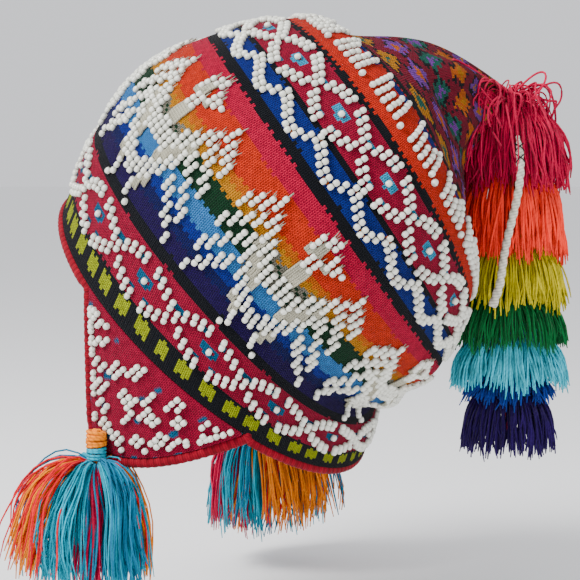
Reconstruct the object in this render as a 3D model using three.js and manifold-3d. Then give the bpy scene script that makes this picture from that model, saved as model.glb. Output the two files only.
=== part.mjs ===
// Knitted chullo hat with ear flaps, beaded bands, two flap tassels and a seven-tier tail tassel.
// Millimetres, +Z up. The wearer looks along -Y and the wearer's left side is +X.
// The origin is where the top of the head meets the inside of the knitting.

import * as THREE from "three";
import { mergeVertices } from "three/addons/utils/BufferGeometryUtils.js";
import Module from "manifold-3d";

const wasm = await Module();
wasm.setup();

// Knitting and small gaps
const WALL = 3;
const GAP = 0.4;
const YARN_GAP = 0.9;

// The crown is one knitted bag. Each row is an oval ring of it, counted along the knitting from
// the rim to the tail's tip. tilt leans the ring back and turn swings it to the wearer's left.
const CROWN_SECTIONS = [
  { name: "rim", along: 0, x: 0, y: -3, z: -140, tilt: 42, turn: 0, side: 83, front: 102, back: 102 },
  { name: "lower", along: 45, x: 0, y: 14, z: -106, tilt: 48, turn: -12, side: 88, front: 102, back: 101 },
  { name: "middle", along: 135, x: -6, y: 58, z: -76, tilt: 55, turn: -27, side: 93, front: 99, back: 99 },
  { name: "upper", along: 190, x: -16, y: 85, z: -55, tilt: 59, turn: -40, side: 76, front: 78, back: 76 },
  { name: "topline", along: 225, x: -27, y: 96, z: -40, tilt: 64, turn: -40, side: 52, front: 50, back: 50 },
  { name: "tail", along: 255, x: -40, y: 107, z: -33, tilt: 84, turn: -42, side: 34, front: 31, back: 30 },
  { name: "tip", along: 295, x: -61, y: 123, z: -28, tilt: 100, turn: -44, side: 10, front: 10, back: 10 },
];
const CROWN_LENGTH = 295;
const CROWN_RINGS = 27;
const CROWN_SIDES = 36;
const TIP_CAP = 4.5;
const RIM_BLEND = 6;
const NORMAL_STEP = { around: 0.02, along: 1.5 };

// Creases and bulges of the crown. around is in degrees from the forehead towards the left side.
const FOLDS = [
  { name: "nape crease", around: 178, along: 46, spanAround: 42, spanAlong: 9, depth: -5 },
  { name: "nape bulge", around: 176, along: 66, spanAround: 46, spanAlong: 13, depth: 4.5 },
  { name: "crown hollow", around: 20, along: 212, spanAround: 34, spanAlong: 12, depth: -3.5 },
  { name: "left slump", around: 118, along: 216, spanAround: 30, spanAlong: 14, depth: -4 },
  { name: "tail root fold", around: 80, along: 238, spanAround: 34, spanAlong: 9, depth: -5 },
  { name: "right slump", around: 262, along: 150, spanAround: 36, spanAlong: 22, depth: -6 },
  { name: "right fold", around: 285, along: 205, spanAround: 30, spanAlong: 12, depth: 4 },
];
const TAIL_GATHERS = { count: 7, start: 222, full: 250, depth: 1.6 };

// Ear flap: its front edge, its rounded tip and its foot, in the side view
const FLAP = {
  frontTopY: -28.5,
  backTopY: 47,
  cornerY: -14.5,
  cornerZ: -182,
  cornerRadius: 16.5,
  footMidY: 14,
  footMidZ: -200.5,
  footBackZ: -186.5,
  leanIn: 4.5,
  leanDepth: 75,
  columns: 13,
  rows: 5,
};

// Crocheted edge binding
const BINDING = { width: 5, thickness: 4.6, sides: 6, rimStep: 4.5, frontSteps: 6, cornerClear: 2 };

// Flap tassels: a yarn neck on the flap's tip, two yarn wraps and a fan of locks
const FLAP_TASSEL = {
  neckX: 82.2,
  neckY: -22,
  neckTopZ: -185.5,
  fanZ: -206,
  neckRadius: 2.6,
  headRadius: 5,
  lockLength: 63,
  lockRadius: 6.6,
  outerLocks: 9,
  innerLocks: 4,
  innerTurn: 0.6,
  reachMean: 37,
  reachSwing: 10,
  innerReach: 14,
  springPower: 1.9,
  droopPower: 1.45,
  droopShare: 0.97,
  stemSides: 8,
  headSides: 10,
  headRings: 6,
  lockSides: 5,
  lockSteps: 4,
};
// A lock swells from its root and narrows again towards its cut end
const LOCK_PROFILE = { least: 0.35, swell: 0.85, start: 0.08, span: 0.74 };
const WRAPS = [
  { name: "orange", color: 0xe0821c, topZ: -186.5, height: 7.6, radius: 5.2 },
  { name: "turquoise", color: 0x1593b5, topZ: -194.5, height: 5.8, radius: 4.9 },
];
const WRAP_SIDES = 12;
const WRAP_EDGE = { radius: 0.82, height: 0.4 };

// The side of the hat that shows best, as level directions in plan
const VIEW_ANGLE = THREE.MathUtils.degToRad(28);
const TOWARDS_VIEW = new THREE.Vector3(Math.cos(VIEW_ANGLE), Math.sin(VIEW_ANGLE), 0);
const ACROSS_VIEW = new THREE.Vector3(-Math.sin(VIEW_ANGLE), Math.cos(VIEW_ANGLE), 0);
// The left flap tassel fans forwards, and the right one fans back and a little outwards
const LEFT_SWING = ACROSS_VIEW.clone().negate();
const RIGHT_SWING = new THREE.Vector3(-0.2 * ACROSS_VIEW.x, ACROSS_VIEW.y, 0).normalize();

// Tail tassel: tiers of cut yarn tied one above the other on a cord
const TASSEL_AXIS = { x: -70, y: 130 };
const TIERS = [
  { name: "crimson", color: 0xb3163a, top: -25, hem: -69, radius: 30 },
  { name: "coral", color: 0xf2453a, top: -56, hem: -105, radius: 29 },
  { name: "yellow", color: 0xb9ae1f, top: -92, hem: -130, radius: 30 },
  { name: "green", color: 0x12703a, top: -118, hem: -150, radius: 31 },
  { name: "turquoise", color: 0x3bb3c9, top: -139, hem: -170, radius: 32 },
  { name: "blue", color: 0x1b3f9b, top: -159, hem: -177, radius: 27.5 },
  { name: "violet", color: 0x2d1c70, top: -168, hem: -204, radius: 25.5 },
];
const TIER_LOCKS = 12;
const TIER_GROOVE = 0.93;
const TIER_RAGGED = 1.5;
const TIER_FLARE = 10;
const TIER_LEVELS = [0, 5, 13];
const TIER_TIE_RADIUS = 5.5;
const TIER_CAP = 1;
const HEM_WALL = 4;
// The lowest tier's own hollow, above its hem and inside its side
const HEM_HOLLOW = { rise: 12, inset: 8 };
const CORE_RADIUS = 2.5;
const CORE_SIDES = 8;
const CORE_END_Z = -196;
const CORE_STEPS = 4;
const CORE_BEND = { ahead: 5, drop: 6, steps: 5 };

// White drop cord on the tail tassel: its route by hand, across and towards the best side
const DROP_CORD = { diameter: 4.5, sides: 8, steps: 9 };
const DROP_ROUTE = [
  { across: 147.6, towards: 26.4, z: -45.0 },
  { across: 147.9, towards: 29.5, z: -49.9 },
  { across: 148.1, towards: 31.8, z: -55.2 },
  { across: 148.2, towards: 33.2, z: -60.8 },
  { across: 147.8, towards: 33.8, z: -66.6 },
  { across: 147.1, towards: 34.0, z: -72.4 },
  { across: 146.0, towards: 34.1, z: -78.1 },
  { across: 144.7, towards: 34.2, z: -83.7 },
  { across: 143.4, towards: 34.2, z: -89.4 },
  { across: 142.0, towards: 34.2, z: -95.0 },
  { across: 140.9, towards: 34.2, z: -100.7 },
  { across: 140.0, towards: 34.2, z: -106.5 },
  { across: 139.3, towards: 34.2, z: -112.2 },
  { across: 138.4, towards: 34.2, z: -118.0 },
  { across: 136.7, towards: 34.1, z: -123.5 },
  { across: 134.8, towards: 34.0, z: -129.0 },
];

// Colours of the knitted pieces
const CRIMSON = 0xae1230;
const BINDING_RED = 0xc80f2e;
const KNIT_BLUE = 0x1c2f96;
const IVORY = 0xe9e2d4;
const MIXED_YARN = 0xd6641f;

const radians = THREE.MathUtils.degToRad;

function yarnMaterial(color) {
  return new THREE.MeshStandardMaterial({ color, roughness: 0.9, metalness: 0 });
}

// Smooth value of one column of a table at a place along it
function smoothColumn(rows, key, column, place) {
  const last = rows.length - 1;
  const slopes = [];
  for (let i = 0; i < last; i++) {
    slopes.push((rows[i + 1][column] - rows[i][column]) / (rows[i + 1][key] - rows[i][key]));
  }
  const slopeAt = (i) => {
    if (i === 0) return slopes[0];
    if (i === last) return slopes[last - 1];
    const before = rows[i][key] - rows[i - 1][key];
    const after = rows[i + 1][key] - rows[i][key];
    return (slopes[i - 1] * after + slopes[i] * before) / (before + after);
  };
  let i = 0;
  while (i < last - 1 && place > rows[i + 1][key]) i++;
  const span = rows[i + 1][key] - rows[i][key];
  const t = (place - rows[i][key]) / span;
  const rest = 1 - t;
  return (
    rows[i][column] * (1 + 2 * t) * rest * rest +
    slopeAt(i) * span * t * rest * rest +
    rows[i + 1][column] * t * t * (3 - 2 * t) +
    slopeAt(i + 1) * span * t * t * (t - 1)
  );
}

// One oval ring of the crown: its centre, its three directions and its half sizes
function crownSection(along) {
  const value = (column) => smoothColumn(CROWN_SECTIONS, "along", column, along);
  const tilt = radians(value("tilt"));
  const turn = radians(value("turn"));
  const leftward = new THREE.Vector3(Math.cos(turn), -Math.sin(turn), 0);
  const forward = new THREE.Vector3(Math.sin(turn), Math.cos(turn), 0).multiplyScalar(-Math.cos(tilt));
  forward.z = Math.sin(tilt);
  const onward = new THREE.Vector3(Math.sin(turn), Math.cos(turn), 0).multiplyScalar(Math.sin(tilt));
  onward.z = Math.cos(tilt);
  return {
    centre: new THREE.Vector3(value("x"), value("y"), value("z")),
    leftward,
    forward,
    onward,
    side: value("side"),
    front: value("front"),
    back: value("back"),
  };
}

function plainCrownPoint(around, along, inset = 0) {
  const ring = crownSection(along);
  const reach = Math.cos(around) > 0 ? ring.front : ring.back;
  return ring.centre
    .addScaledVector(ring.leftward, (ring.side - inset) * Math.sin(around))
    .addScaledVector(ring.forward, (reach - inset) * Math.cos(around));
}

function crownNormal(around, along) {
  const { around: step, along: length } = NORMAL_STEP;
  const low = Math.max(along - length, 0);
  const high = Math.min(along + length, CROWN_LENGTH);
  const sideways = plainCrownPoint(around + step, along).sub(plainCrownPoint(around - step, along));
  const upwards = plainCrownPoint(around, high).sub(plainCrownPoint(around, low));
  return sideways.cross(upwards).normalize();
}

// Distance round the crown between two angles, in degrees, the short way
function angleBetween(a, b) {
  return Math.abs(((a - b + 540) % 360) - 180);
}

function foldDepth(around, along) {
  const degrees = THREE.MathUtils.radToDeg(around);
  let depth = 0;
  for (const fold of FOLDS) {
    const sideways = angleBetween(degrees, fold.around) / fold.spanAround;
    const lengthways = (along - fold.along) / fold.spanAlong;
    depth += fold.depth * Math.exp(-sideways * sideways - lengthways * lengthways);
  }
  const gathered = THREE.MathUtils.smoothstep(along, TAIL_GATHERS.start, TAIL_GATHERS.full);
  return depth + TAIL_GATHERS.depth * gathered * Math.cos(TAIL_GATHERS.count * around);
}

function crownPoint(around, along, inset) {
  const rimBlend = THREE.MathUtils.smoothstep(along, 0, RIM_BLEND);
  const flat = plainCrownPoint(around, along, inset);
  const shaped = plainCrownPoint(around, along);
  shaped.addScaledVector(crownNormal(around, along), foldDepth(around, along) - inset);
  return flat.lerp(shaped, rimBlend);
}

// A closed surface through rings of equally many points, with a pole or a flat cap at each end
function loft(rings, { startPole, endPole, loop = false, strips = false } = {}) {
  const sides = rings[0].length;
  const points = rings.flat();
  const faces = [];
  const quad = (a, b, c, d) => faces.push(a, b, c, a, c, d);
  const spans = loop ? rings.length : rings.length - 1;
  for (let i = 0; i < spans; i++) {
    const next = (i + 1) % rings.length;
    for (let k = 0; k < sides; k++) {
      const after = (k + 1) % sides;
      quad(i * sides + k, i * sides + after, next * sides + after, next * sides + k);
    }
  }
  const cap = (first, pole, flip) => {
    const tip = points.push(pole) - 1;
    for (let k = 0; k < sides; k++) {
      const after = (k + 1) % sides;
      if (flip) faces.push(tip, first + after, first + k);
      else faces.push(tip, first + k, first + after);
    }
  };
  // Joins the two halves of an end ring across a thin wall
  const strip = (first, flip) => {
    for (let k = 0; k < sides / 2 - 1; k++) {
      const [a, b] = [first + k, first + k + 1];
      const [c, d] = [first + sides - 2 - k, first + sides - 1 - k];
      if (flip) quad(a, d, c, b);
      else quad(a, b, c, d);
    }
  };
  const lastRing = (rings.length - 1) * sides;
  if (strips) {
    strip(0, true);
    strip(lastRing, false);
  } else if (!loop) {
    cap(0, startPole ?? ringCentre(rings[0]), true);
    cap(lastRing, endPole ?? ringCentre(rings[rings.length - 1]), false);
  }
  return solidGeometry(points, faces);
}

function ringCentre(ring) {
  const centre = new THREE.Vector3();
  for (const point of ring) centre.add(point);
  return centre.divideScalar(ring.length);
}

// Geometry with its faces pointing out, whichever way round they were listed
function solidGeometry(points, faces) {
  let volume = 0;
  for (let i = 0; i < faces.length; i += 3) {
    const [a, b, c] = [points[faces[i]], points[faces[i + 1]], points[faces[i + 2]]];
    volume += a.dot(new THREE.Vector3().crossVectors(b, c));
  }
  const order = volume < 0 ? [...faces].reverse() : faces;
  const geometry = new THREE.BufferGeometry();
  geometry.setAttribute("position", new THREE.Float32BufferAttribute(points.flatMap((p) => p.toArray()), 3));
  geometry.setIndex(order);
  geometry.computeVertexNormals();
  return geometry;
}

function toSolid(geometry) {
  const bare = new THREE.BufferGeometry();
  bare.setAttribute("position", geometry.getAttribute("position").clone());
  if (geometry.index) bare.setIndex(geometry.index.clone());
  const merged = mergeVertices(bare, 1e-4);
  const vertProperties = new Float32Array(merged.getAttribute("position").array);
  const triVerts = new Uint32Array(merged.index.array);
  return new wasm.Manifold(new wasm.Mesh({ numProp: 3, vertProperties, triVerts }));
}

function fromSolid(solid) {
  const mesh = solid.getMesh();
  const geometry = new THREE.BufferGeometry();
  geometry.setAttribute("position", new THREE.BufferAttribute(new Float32Array(mesh.vertProperties), 3));
  geometry.setIndex(new THREE.BufferAttribute(new Uint32Array(mesh.triVerts), 1));
  geometry.computeVertexNormals();
  return geometry;
}

function mirrored(geometry) {
  const position = geometry.getAttribute("position");
  const points = [];
  for (let i = 0; i < position.count; i++) {
    points.push(new THREE.Vector3(-position.getX(i), position.getY(i), position.getZ(i)));
  }
  return solidGeometry(points, Array.from(geometry.index.array));
}

// Tube of oval or round section along a route of points
function tube(route, { sides, radiusAt, reference }) {
  const rings = route.map((point, i) => {
    const before = route[Math.max(i - 1, 0)];
    const after = route[Math.min(i + 1, route.length - 1)];
    const forward = after.clone().sub(before).normalize();
    const across = forward.clone().cross(reference).normalize();
    const up = across.clone().cross(forward).normalize();
    return ovalRing(point, across, up, radiusAt(i), radiusAt(i), sides);
  });
  return loft(rings);
}

function ovalRing(centre, across, up, halfWidth, halfHeight, sides) {
  const ring = [];
  for (let k = 0; k < sides; k++) {
    const angle = (2 * Math.PI * k) / sides;
    const point = centre.clone();
    point.addScaledVector(across, halfWidth * Math.cos(angle));
    point.addScaledVector(up, halfHeight * Math.sin(angle));
    ring.push(point);
  }
  return ring;
}

// Crown: outer skin from the tail's tip to the rim, then the inner skin back up to the tip
function crownRing(along, inset) {
  const ring = [];
  for (let k = 0; k < CROWN_SIDES; k++) {
    ring.push(crownPoint((2 * Math.PI * k) / CROWN_SIDES, along, inset));
  }
  return ring;
}

function crownSkin(inset, top) {
  const rings = [];
  for (let i = 0; i < CROWN_RINGS; i++) {
    rings.push(crownRing((top * i) / (CROWN_RINGS - 1), inset));
  }
  return rings;
}

function tailTip(ahead) {
  const tip = crownSection(CROWN_LENGTH);
  return tip.centre.addScaledVector(tip.onward, ahead);
}

function crownGeometry() {
  const outer = crownSkin(0, CROWN_LENGTH).reverse();
  const inner = crownSkin(WALL, CROWN_LENGTH - 2 * WALL);
  return loft([...outer, ...inner], { startPole: tailTip(TIP_CAP), endPole: tailTip(-WALL) });
}

// The crown without its hollow and grown by the gap, to cut what lies against it
function crownCutter() {
  return toSolid(loft(crownSkin(-YARN_GAP, CROWN_LENGTH), { endPole: tailTip(TIP_CAP + YARN_GAP) }));
}

// The rim seen from above is an oval that the flap goes on down from
function rimPlane() {
  const rim = crownSection(0);
  const depth = rim.front * -rim.forward.y;
  return { rim, depth, heightAt: (y) => rim.centre.z - ((y - rim.centre.y) * rim.onward.y) / rim.onward.z };
}

// Point of the left flap at a place of the side view, under its outer face by inset
function flapPoint(y, z, inset) {
  const { rim, depth, heightAt } = rimPlane();
  const forwardness = (y - rim.centre.y) / depth;
  const x = rim.side * Math.sqrt(1 - forwardness * forwardness);
  const outward = new THREE.Vector3(x / rim.side ** 2, (y - rim.centre.y) / depth ** 2, 0).normalize();
  const hang = Math.max(heightAt(y) - z, 0) / FLAP.leanDepth;
  const lean = FLAP.leanIn * Math.pow(hang, 1.5);
  return new THREE.Vector3(x - lean, y, z).addScaledVector(outward, -inset);
}

// Foot of the flap in the side view: the rounded tip, then a shallow curve up to the rim
function flapFoot() {
  const path = new THREE.Path();
  const { cornerY, cornerZ, cornerRadius } = FLAP;
  path.moveTo(cornerY - cornerRadius, cornerZ);
  path.absarc(cornerY, cornerZ, cornerRadius, Math.PI, 1.5 * Math.PI, false);
  path.quadraticCurveTo(FLAP.footMidY, FLAP.footMidZ, FLAP.backTopY, FLAP.footBackZ);
  return path.getSpacedPoints(FLAP.columns - 1);
}

function flapGeometry() {
  const { rim, heightAt } = rimPlane();
  const rings = flapFoot().map((foot, i) => {
    const topY = THREE.MathUtils.lerp(FLAP.frontTopY, FLAP.backTopY, i / (FLAP.columns - 1));
    const face = (inset) => {
      const column = [];
      for (let j = 0; j < FLAP.rows; j++) {
        const t = j / (FLAP.rows - 1);
        const y = THREE.MathUtils.lerp(topY, foot.x, t);
        const shiftedTop = heightAt(flapPoint(topY, foot.y, inset).y) - GAP / rim.onward.z;
        column.push(flapPoint(y, THREE.MathUtils.lerp(shiftedTop, foot.y, t), inset));
      }
      return column;
    };
    return [...face(0), ...face(WALL).reverse()];
  });
  return loft(rings, { strips: true });
}

// Binding: one loop round the rim and both flaps, held off the knitting by the gap
function bindingHalf() {
  const { rim, depth, heightAt } = rimPlane();
  const offset = BINDING.width / 2 + GAP;
  const stations = [];
  const rimStation = (degrees) => {
    const centre = plainCrownPoint(radians(degrees), 0, WALL / 2).addScaledVector(rim.onward, -offset);
    const outward = plainCrownPoint(radians(degrees), 0).sub(rim.centre).normalize();
    stations.push({ centre, outward });
  };
  const angleAt = (y) => THREE.MathUtils.radToDeg(Math.acos((rim.centre.y - y) / depth));
  const frontAngle = angleAt(FLAP.frontTopY - offset) - BINDING.cornerClear;
  const backAngle = angleAt(FLAP.backTopY + offset) + BINDING.cornerClear;
  for (let angle = 0; angle < frontAngle; angle += BINDING.rimStep) rimStation(angle);
  for (const place of flapOutline(offset)) stations.push(flapStation(place));
  for (let angle = backAngle; angle < 180; angle += BINDING.rimStep) rimStation(angle);
  rimStation(180);
  return stations;

  // Flap outline from the rim, down the front edge, round the tip and back up to the rim
  function flapOutline(distance) {
    const top = new THREE.Vector2(FLAP.frontTopY, heightAt(FLAP.frontTopY));
    const end = new THREE.Vector2(FLAP.backTopY, heightAt(FLAP.backTopY));
    const foot = flapFoot();
    const front = [];
    for (let i = 0; i < BINDING.frontSteps; i++) {
      front.push(top.clone().lerp(foot[0], i / BINDING.frontSteps));
    }
    const corners = [...front, ...foot, end];
    const rimOut = new THREE.Vector2(-rim.onward.y, -rim.onward.z);
    const edgeOut = (i) => {
      const along = corners[i + 1].clone().sub(corners[i]).normalize();
      return new THREE.Vector2(along.y, -along.x);
    };
    return corners.slice(0, -1).map((corner, i) => {
      const before = i === 0 ? rimOut : edgeOut(i - 1);
      const after = i === corners.length - 2 ? rimOut : edgeOut(i);
      const mitre = before.clone().add(after).divideScalar(1 + before.dot(after));
      return corner.clone().addScaledVector(mitre, distance);
    });
  }
}

function flapStation(place) {
  const centre = flapPoint(place.x, place.y, WALL / 2);
  const outward = flapPoint(place.x, place.y, 0).sub(centre).normalize();
  return { centre, outward };
}

function bindingGeometry() {
  const left = bindingHalf();
  const flip = (v) => new THREE.Vector3(-v.x, v.y, v.z);
  const right = left.slice(1, -1).reverse();
  const stations = [...left, ...right.map((s) => ({ centre: flip(s.centre), outward: flip(s.outward) }))];
  const count = stations.length;
  const rings = stations.map(({ centre, outward }, i) => {
    const before = stations[(i + count - 1) % count].centre;
    const after = stations[(i + 1) % count].centre;
    const forward = after.clone().sub(before).normalize();
    const across = forward.clone().cross(outward).normalize();
    const up = across.clone().cross(forward).normalize();
    return ovalRing(centre, across, up, BINDING.width / 2, BINDING.thickness / 2, BINDING.sides);
  });
  return loft(rings, { loop: true });
}

// Wraps of yarn wound round the neck of a flap tassel
function wrapGeometry({ topZ, height, radius }) {
  const hole = FLAP_TASSEL.neckRadius + GAP;
  const half = height / 2;
  const edge = radius * WRAP_EDGE.radius;
  const shoulder = half * WRAP_EDGE.height;
  const profile = [
    [hole, -half],
    [edge, -half],
    [radius, -shoulder],
    [radius, shoulder],
    [edge, half],
    [hole, half],
    [hole, -half],
  ];
  const geometry = new THREE.LatheGeometry(profile.map(([r, z]) => new THREE.Vector2(r, z)), WRAP_SIDES);
  geometry.rotateX(Math.PI / 2);
  geometry.translate(FLAP_TASSEL.neckX, FLAP_TASSEL.neckY, topZ - half);
  return geometry;
}

// A lock of yarn that springs from the head and droops
function lockGeometry(start, direction, reach, radius) {
  const { lockLength, lockSides, lockSteps, springPower, droopPower, droopShare } = FLAP_TASSEL;
  const drop = Math.sqrt(lockLength ** 2 - reach ** 2) * droopShare;
  const route = [];
  for (let i = 0; i <= lockSteps; i++) {
    const t = i / lockSteps;
    const point = start.clone().addScaledVector(direction, reach * (1 - (1 - t) ** springPower));
    point.z -= drop * t ** droopPower;
    route.push(point);
  }
  const { least, swell, start: root, span } = LOCK_PROFILE;
  const radiusAt = (i) => radius * (least + swell * Math.sin(Math.PI * (root + (span * i) / lockSteps)));
  const reference = new THREE.Vector3(-direction.y, direction.x, 0.05).normalize();
  return tube(route, { sides: lockSides, radiusAt, reference });
}

// Head and fan of locks. swing is the level direction in which the fan reaches furthest.
function flapTasselGeometry(swing) {
  const size = FLAP_TASSEL;
  const start = new THREE.Vector3(size.neckX, size.neckY, size.fanZ);
  const stemLength = size.neckTopZ - size.fanZ;
  const stem = new THREE.CylinderGeometry(size.neckRadius, size.neckRadius, stemLength, size.stemSides);
  stem.rotateX(Math.PI / 2);
  stem.translate(start.x, start.y, (size.neckTopZ + size.fanZ) / 2);
  const head = new THREE.SphereGeometry(size.headRadius, size.headSides, size.headRings);
  head.rotateX(Math.PI / 2);
  head.translate(start.x, start.y, start.z);
  let solid = toSolid(stem).add(toSolid(head));
  const ringOf = (count, reachAt, turn) => {
    for (let k = 0; k < count; k++) {
      const angle = (2 * Math.PI * k) / count + turn;
      const direction = swing.clone().applyAxisAngle(new THREE.Vector3(0, 0, 1), angle);
      solid = solid.add(toSolid(lockGeometry(start, direction, reachAt(angle), size.lockRadius)));
    }
  };
  ringOf(size.outerLocks, (angle) => size.reachMean + size.reachSwing * Math.cos(angle), 0);
  ringOf(size.innerLocks, () => size.innerReach, size.innerTurn);
  return fromSolid(solid);
}

// Tail tassel: profile of a tier, as half widths and heights from its tie down to its hem
function tierRadius(tier, z) {
  const depth = Math.max(tier.top - z, 0);
  return TIER_TIE_RADIUS + (tier.radius - TIER_TIE_RADIUS) * (1 - Math.exp(-depth / TIER_FLARE));
}

function tierRing(z, radius, grooved, ragged = 0) {
  const ring = [];
  const count = 2 * TIER_LOCKS;
  for (let k = 0; k < count; k++) {
    const angle = (2 * Math.PI * k) / count;
    const dip = k % 2 === 1 && grooved ? TIER_GROOVE : 1;
    const drop = ragged * (k % 4 === 0 ? -1 : k % 2);
    const x = TASSEL_AXIS.x + radius * dip * Math.cos(angle);
    const y = TASSEL_AXIS.y + radius * dip * Math.sin(angle);
    ring.push(new THREE.Vector3(x, y, z + drop));
  }
  return ring;
}

function tierGeometry(index) {
  const tier = TIERS[index];
  const below = TIERS[index + 1];
  const levelsOf = (shape) => TIER_LEVELS.map((depth) => shape.top - depth);
  const outer = levelsOf(tier).filter((z) => z > tier.hem + HEM_WALL);
  const rings = outer.map((z) => tierRing(z, tierRadius(tier, z), true));
  const hemRadius = tierRadius(tier, tier.hem);
  rings.push(tierRing(tier.hem, hemRadius, true, TIER_RAGGED));
  rings.push(tierRing(tier.hem + TIER_CAP, hemRadius - HEM_WALL, false));
  const inside = below ?? { top: tier.hem + HEM_HOLLOW.rise, radius: tier.radius - HEM_HOLLOW.inset };
  for (const z of levelsOf(inside).filter((level) => level > tier.hem + 2 * TIER_CAP).reverse()) {
    rings.push(tierRing(z, tierRadius(inside, z) + 2 * GAP, false));
  }
  const roof = new THREE.Vector3(TASSEL_AXIS.x, TASSEL_AXIS.y, inside.top + TIER_CAP + 2 * GAP);
  const top = new THREE.Vector3(TASSEL_AXIS.x, TASSEL_AXIS.y, tier.top + TIER_CAP);
  return loft(rings, { startPole: top, endPole: roof });
}

// The cord that the tiers are tied on, from the tail's tip over and straight down
function coreRoute() {
  const tip = crownSection(CROWN_LENGTH);
  const start = tailTip(TIP_CAP + GAP);
  const axisTop = new THREE.Vector3(TASSEL_AXIS.x, TASSEL_AXIS.y, start.z - CORE_BEND.drop);
  const bend = start.clone().addScaledVector(tip.onward, CORE_BEND.ahead);
  const curve = new THREE.QuadraticBezierCurve3(start, bend, axisTop);
  const route = curve.getPoints(CORE_BEND.steps);
  for (let i = 1; i <= CORE_STEPS; i++) {
    const z = THREE.MathUtils.lerp(axisTop.z, CORE_END_Z, i / CORE_STEPS);
    route.push(new THREE.Vector3(TASSEL_AXIS.x, TASSEL_AXIS.y, z));
  }
  return route;
}

function coreGeometry(route, radius) {
  const reference = new THREE.Vector3(1, 1, 0).normalize();
  return tube(route, { sides: CORE_SIDES, radiusAt: () => radius, reference });
}

// What the tiers are cut by: the crown and the cord, both grown, the cord from inside the tail
function tierCutter() {
  const cord = coreGeometry([tailTip(0), ...coreRoute()], CORE_RADIUS + GAP);
  return crownCutter().add(toSolid(cord));
}

function dropCordGeometry() {
  const route = DROP_ROUTE.map(({ across, towards, z }) => {
    const point = new THREE.Vector3(0, 0, z);
    return point.addScaledVector(ACROSS_VIEW, across).addScaledVector(TOWARDS_VIEW, towards);
  });
  const curve = new THREE.CatmullRomCurve3(route);
  const section = new THREE.Shape();
  section.absarc(0, 0, DROP_CORD.diameter / 2, 0, 2 * Math.PI, false);
  return new THREE.ExtrudeGeometry(section, {
    steps: DROP_CORD.steps,
    curveSegments: DROP_CORD.sides / 2,
    bevelEnabled: false,
    extrudePath: curve,
  });
}

const hat = new THREE.Group();

function addPiece(name, geometry, color) {
  const mesh = new THREE.Mesh(geometry, yarnMaterial(color));
  mesh.name = name;
  hat.add(mesh);
}

addPiece("crown", crownGeometry(), KNIT_BLUE);

const leftFlap = flapGeometry();
addPiece("ear_flap_left", leftFlap, CRIMSON);
addPiece("ear_flap_right", mirrored(leftFlap), CRIMSON);
addPiece("edge_binding", bindingGeometry(), BINDING_RED);

for (const wrap of WRAPS) {
  const leftWrap = fromSolid(toSolid(wrapGeometry(wrap)));
  addPiece(`${wrap.name}_wrap_left`, leftWrap, wrap.color);
  addPiece(`${wrap.name}_wrap_right`, mirrored(leftWrap), wrap.color);
}
addPiece("flap_tassel_left", flapTasselGeometry(LEFT_SWING), MIXED_YARN);
addPiece("flap_tassel_right", mirrored(flapTasselGeometry(RIGHT_SWING)), MIXED_YARN);

addPiece("tail_tassel_cord", coreGeometry(coreRoute(), CORE_RADIUS), CRIMSON);
const cutter = tierCutter();
TIERS.forEach((tier, index) => {
  const solid = toSolid(tierGeometry(index)).subtract(cutter);
  addPiece(`tier_${tier.name}`, fromSolid(solid), tier.color);
});
addPiece("white_drop_cord", dropCordGeometry(), IVORY);

export default hat;
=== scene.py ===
"""Dressed model of a knitted chullo hat: bead-worked crown, ear flaps, flap tassels and a tiered tail tassel.

Makers work in millimetres, and Blender holds metres. +Z is up, the wearer looks along -Y and the
wearer's left side is +X. On the crown, "along" runs from the rim to the tail's tip. A pattern place
is a column, of which 126 go round the crown, and a row, which is a distance along.
"""

import logging
import math
from dataclasses import dataclass, field
from enum import Enum

import bpy
import numpy as np
from mathutils import Matrix, Vector, kdtree


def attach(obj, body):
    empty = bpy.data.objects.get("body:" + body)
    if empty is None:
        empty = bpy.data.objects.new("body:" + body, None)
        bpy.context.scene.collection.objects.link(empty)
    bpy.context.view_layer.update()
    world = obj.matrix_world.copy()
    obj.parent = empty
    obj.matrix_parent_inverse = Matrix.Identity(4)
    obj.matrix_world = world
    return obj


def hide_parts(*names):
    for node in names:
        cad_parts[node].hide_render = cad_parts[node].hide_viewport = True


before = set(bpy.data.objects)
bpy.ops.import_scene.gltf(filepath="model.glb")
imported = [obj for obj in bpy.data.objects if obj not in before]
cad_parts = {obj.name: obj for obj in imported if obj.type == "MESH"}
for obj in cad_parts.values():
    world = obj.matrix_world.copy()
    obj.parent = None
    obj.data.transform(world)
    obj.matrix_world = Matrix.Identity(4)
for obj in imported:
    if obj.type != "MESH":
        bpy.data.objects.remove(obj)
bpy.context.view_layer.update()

logging.basicConfig(level=logging.INFO, format="%(message)s")
LOG = logging.getLogger("chullo")

MM = 0.001
TAU = 2 * math.pi
# Columns of the pattern round the crown
COLUMNS = 126.0
# Width of a bead of the birds, in pattern columns
BEAD_COLUMN = 0.72
Array = np.ndarray
Rgba = tuple[float, float, float, float]
# Column, row of the upper end and number of beads of a run
Run = tuple[float, float, int]


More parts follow.
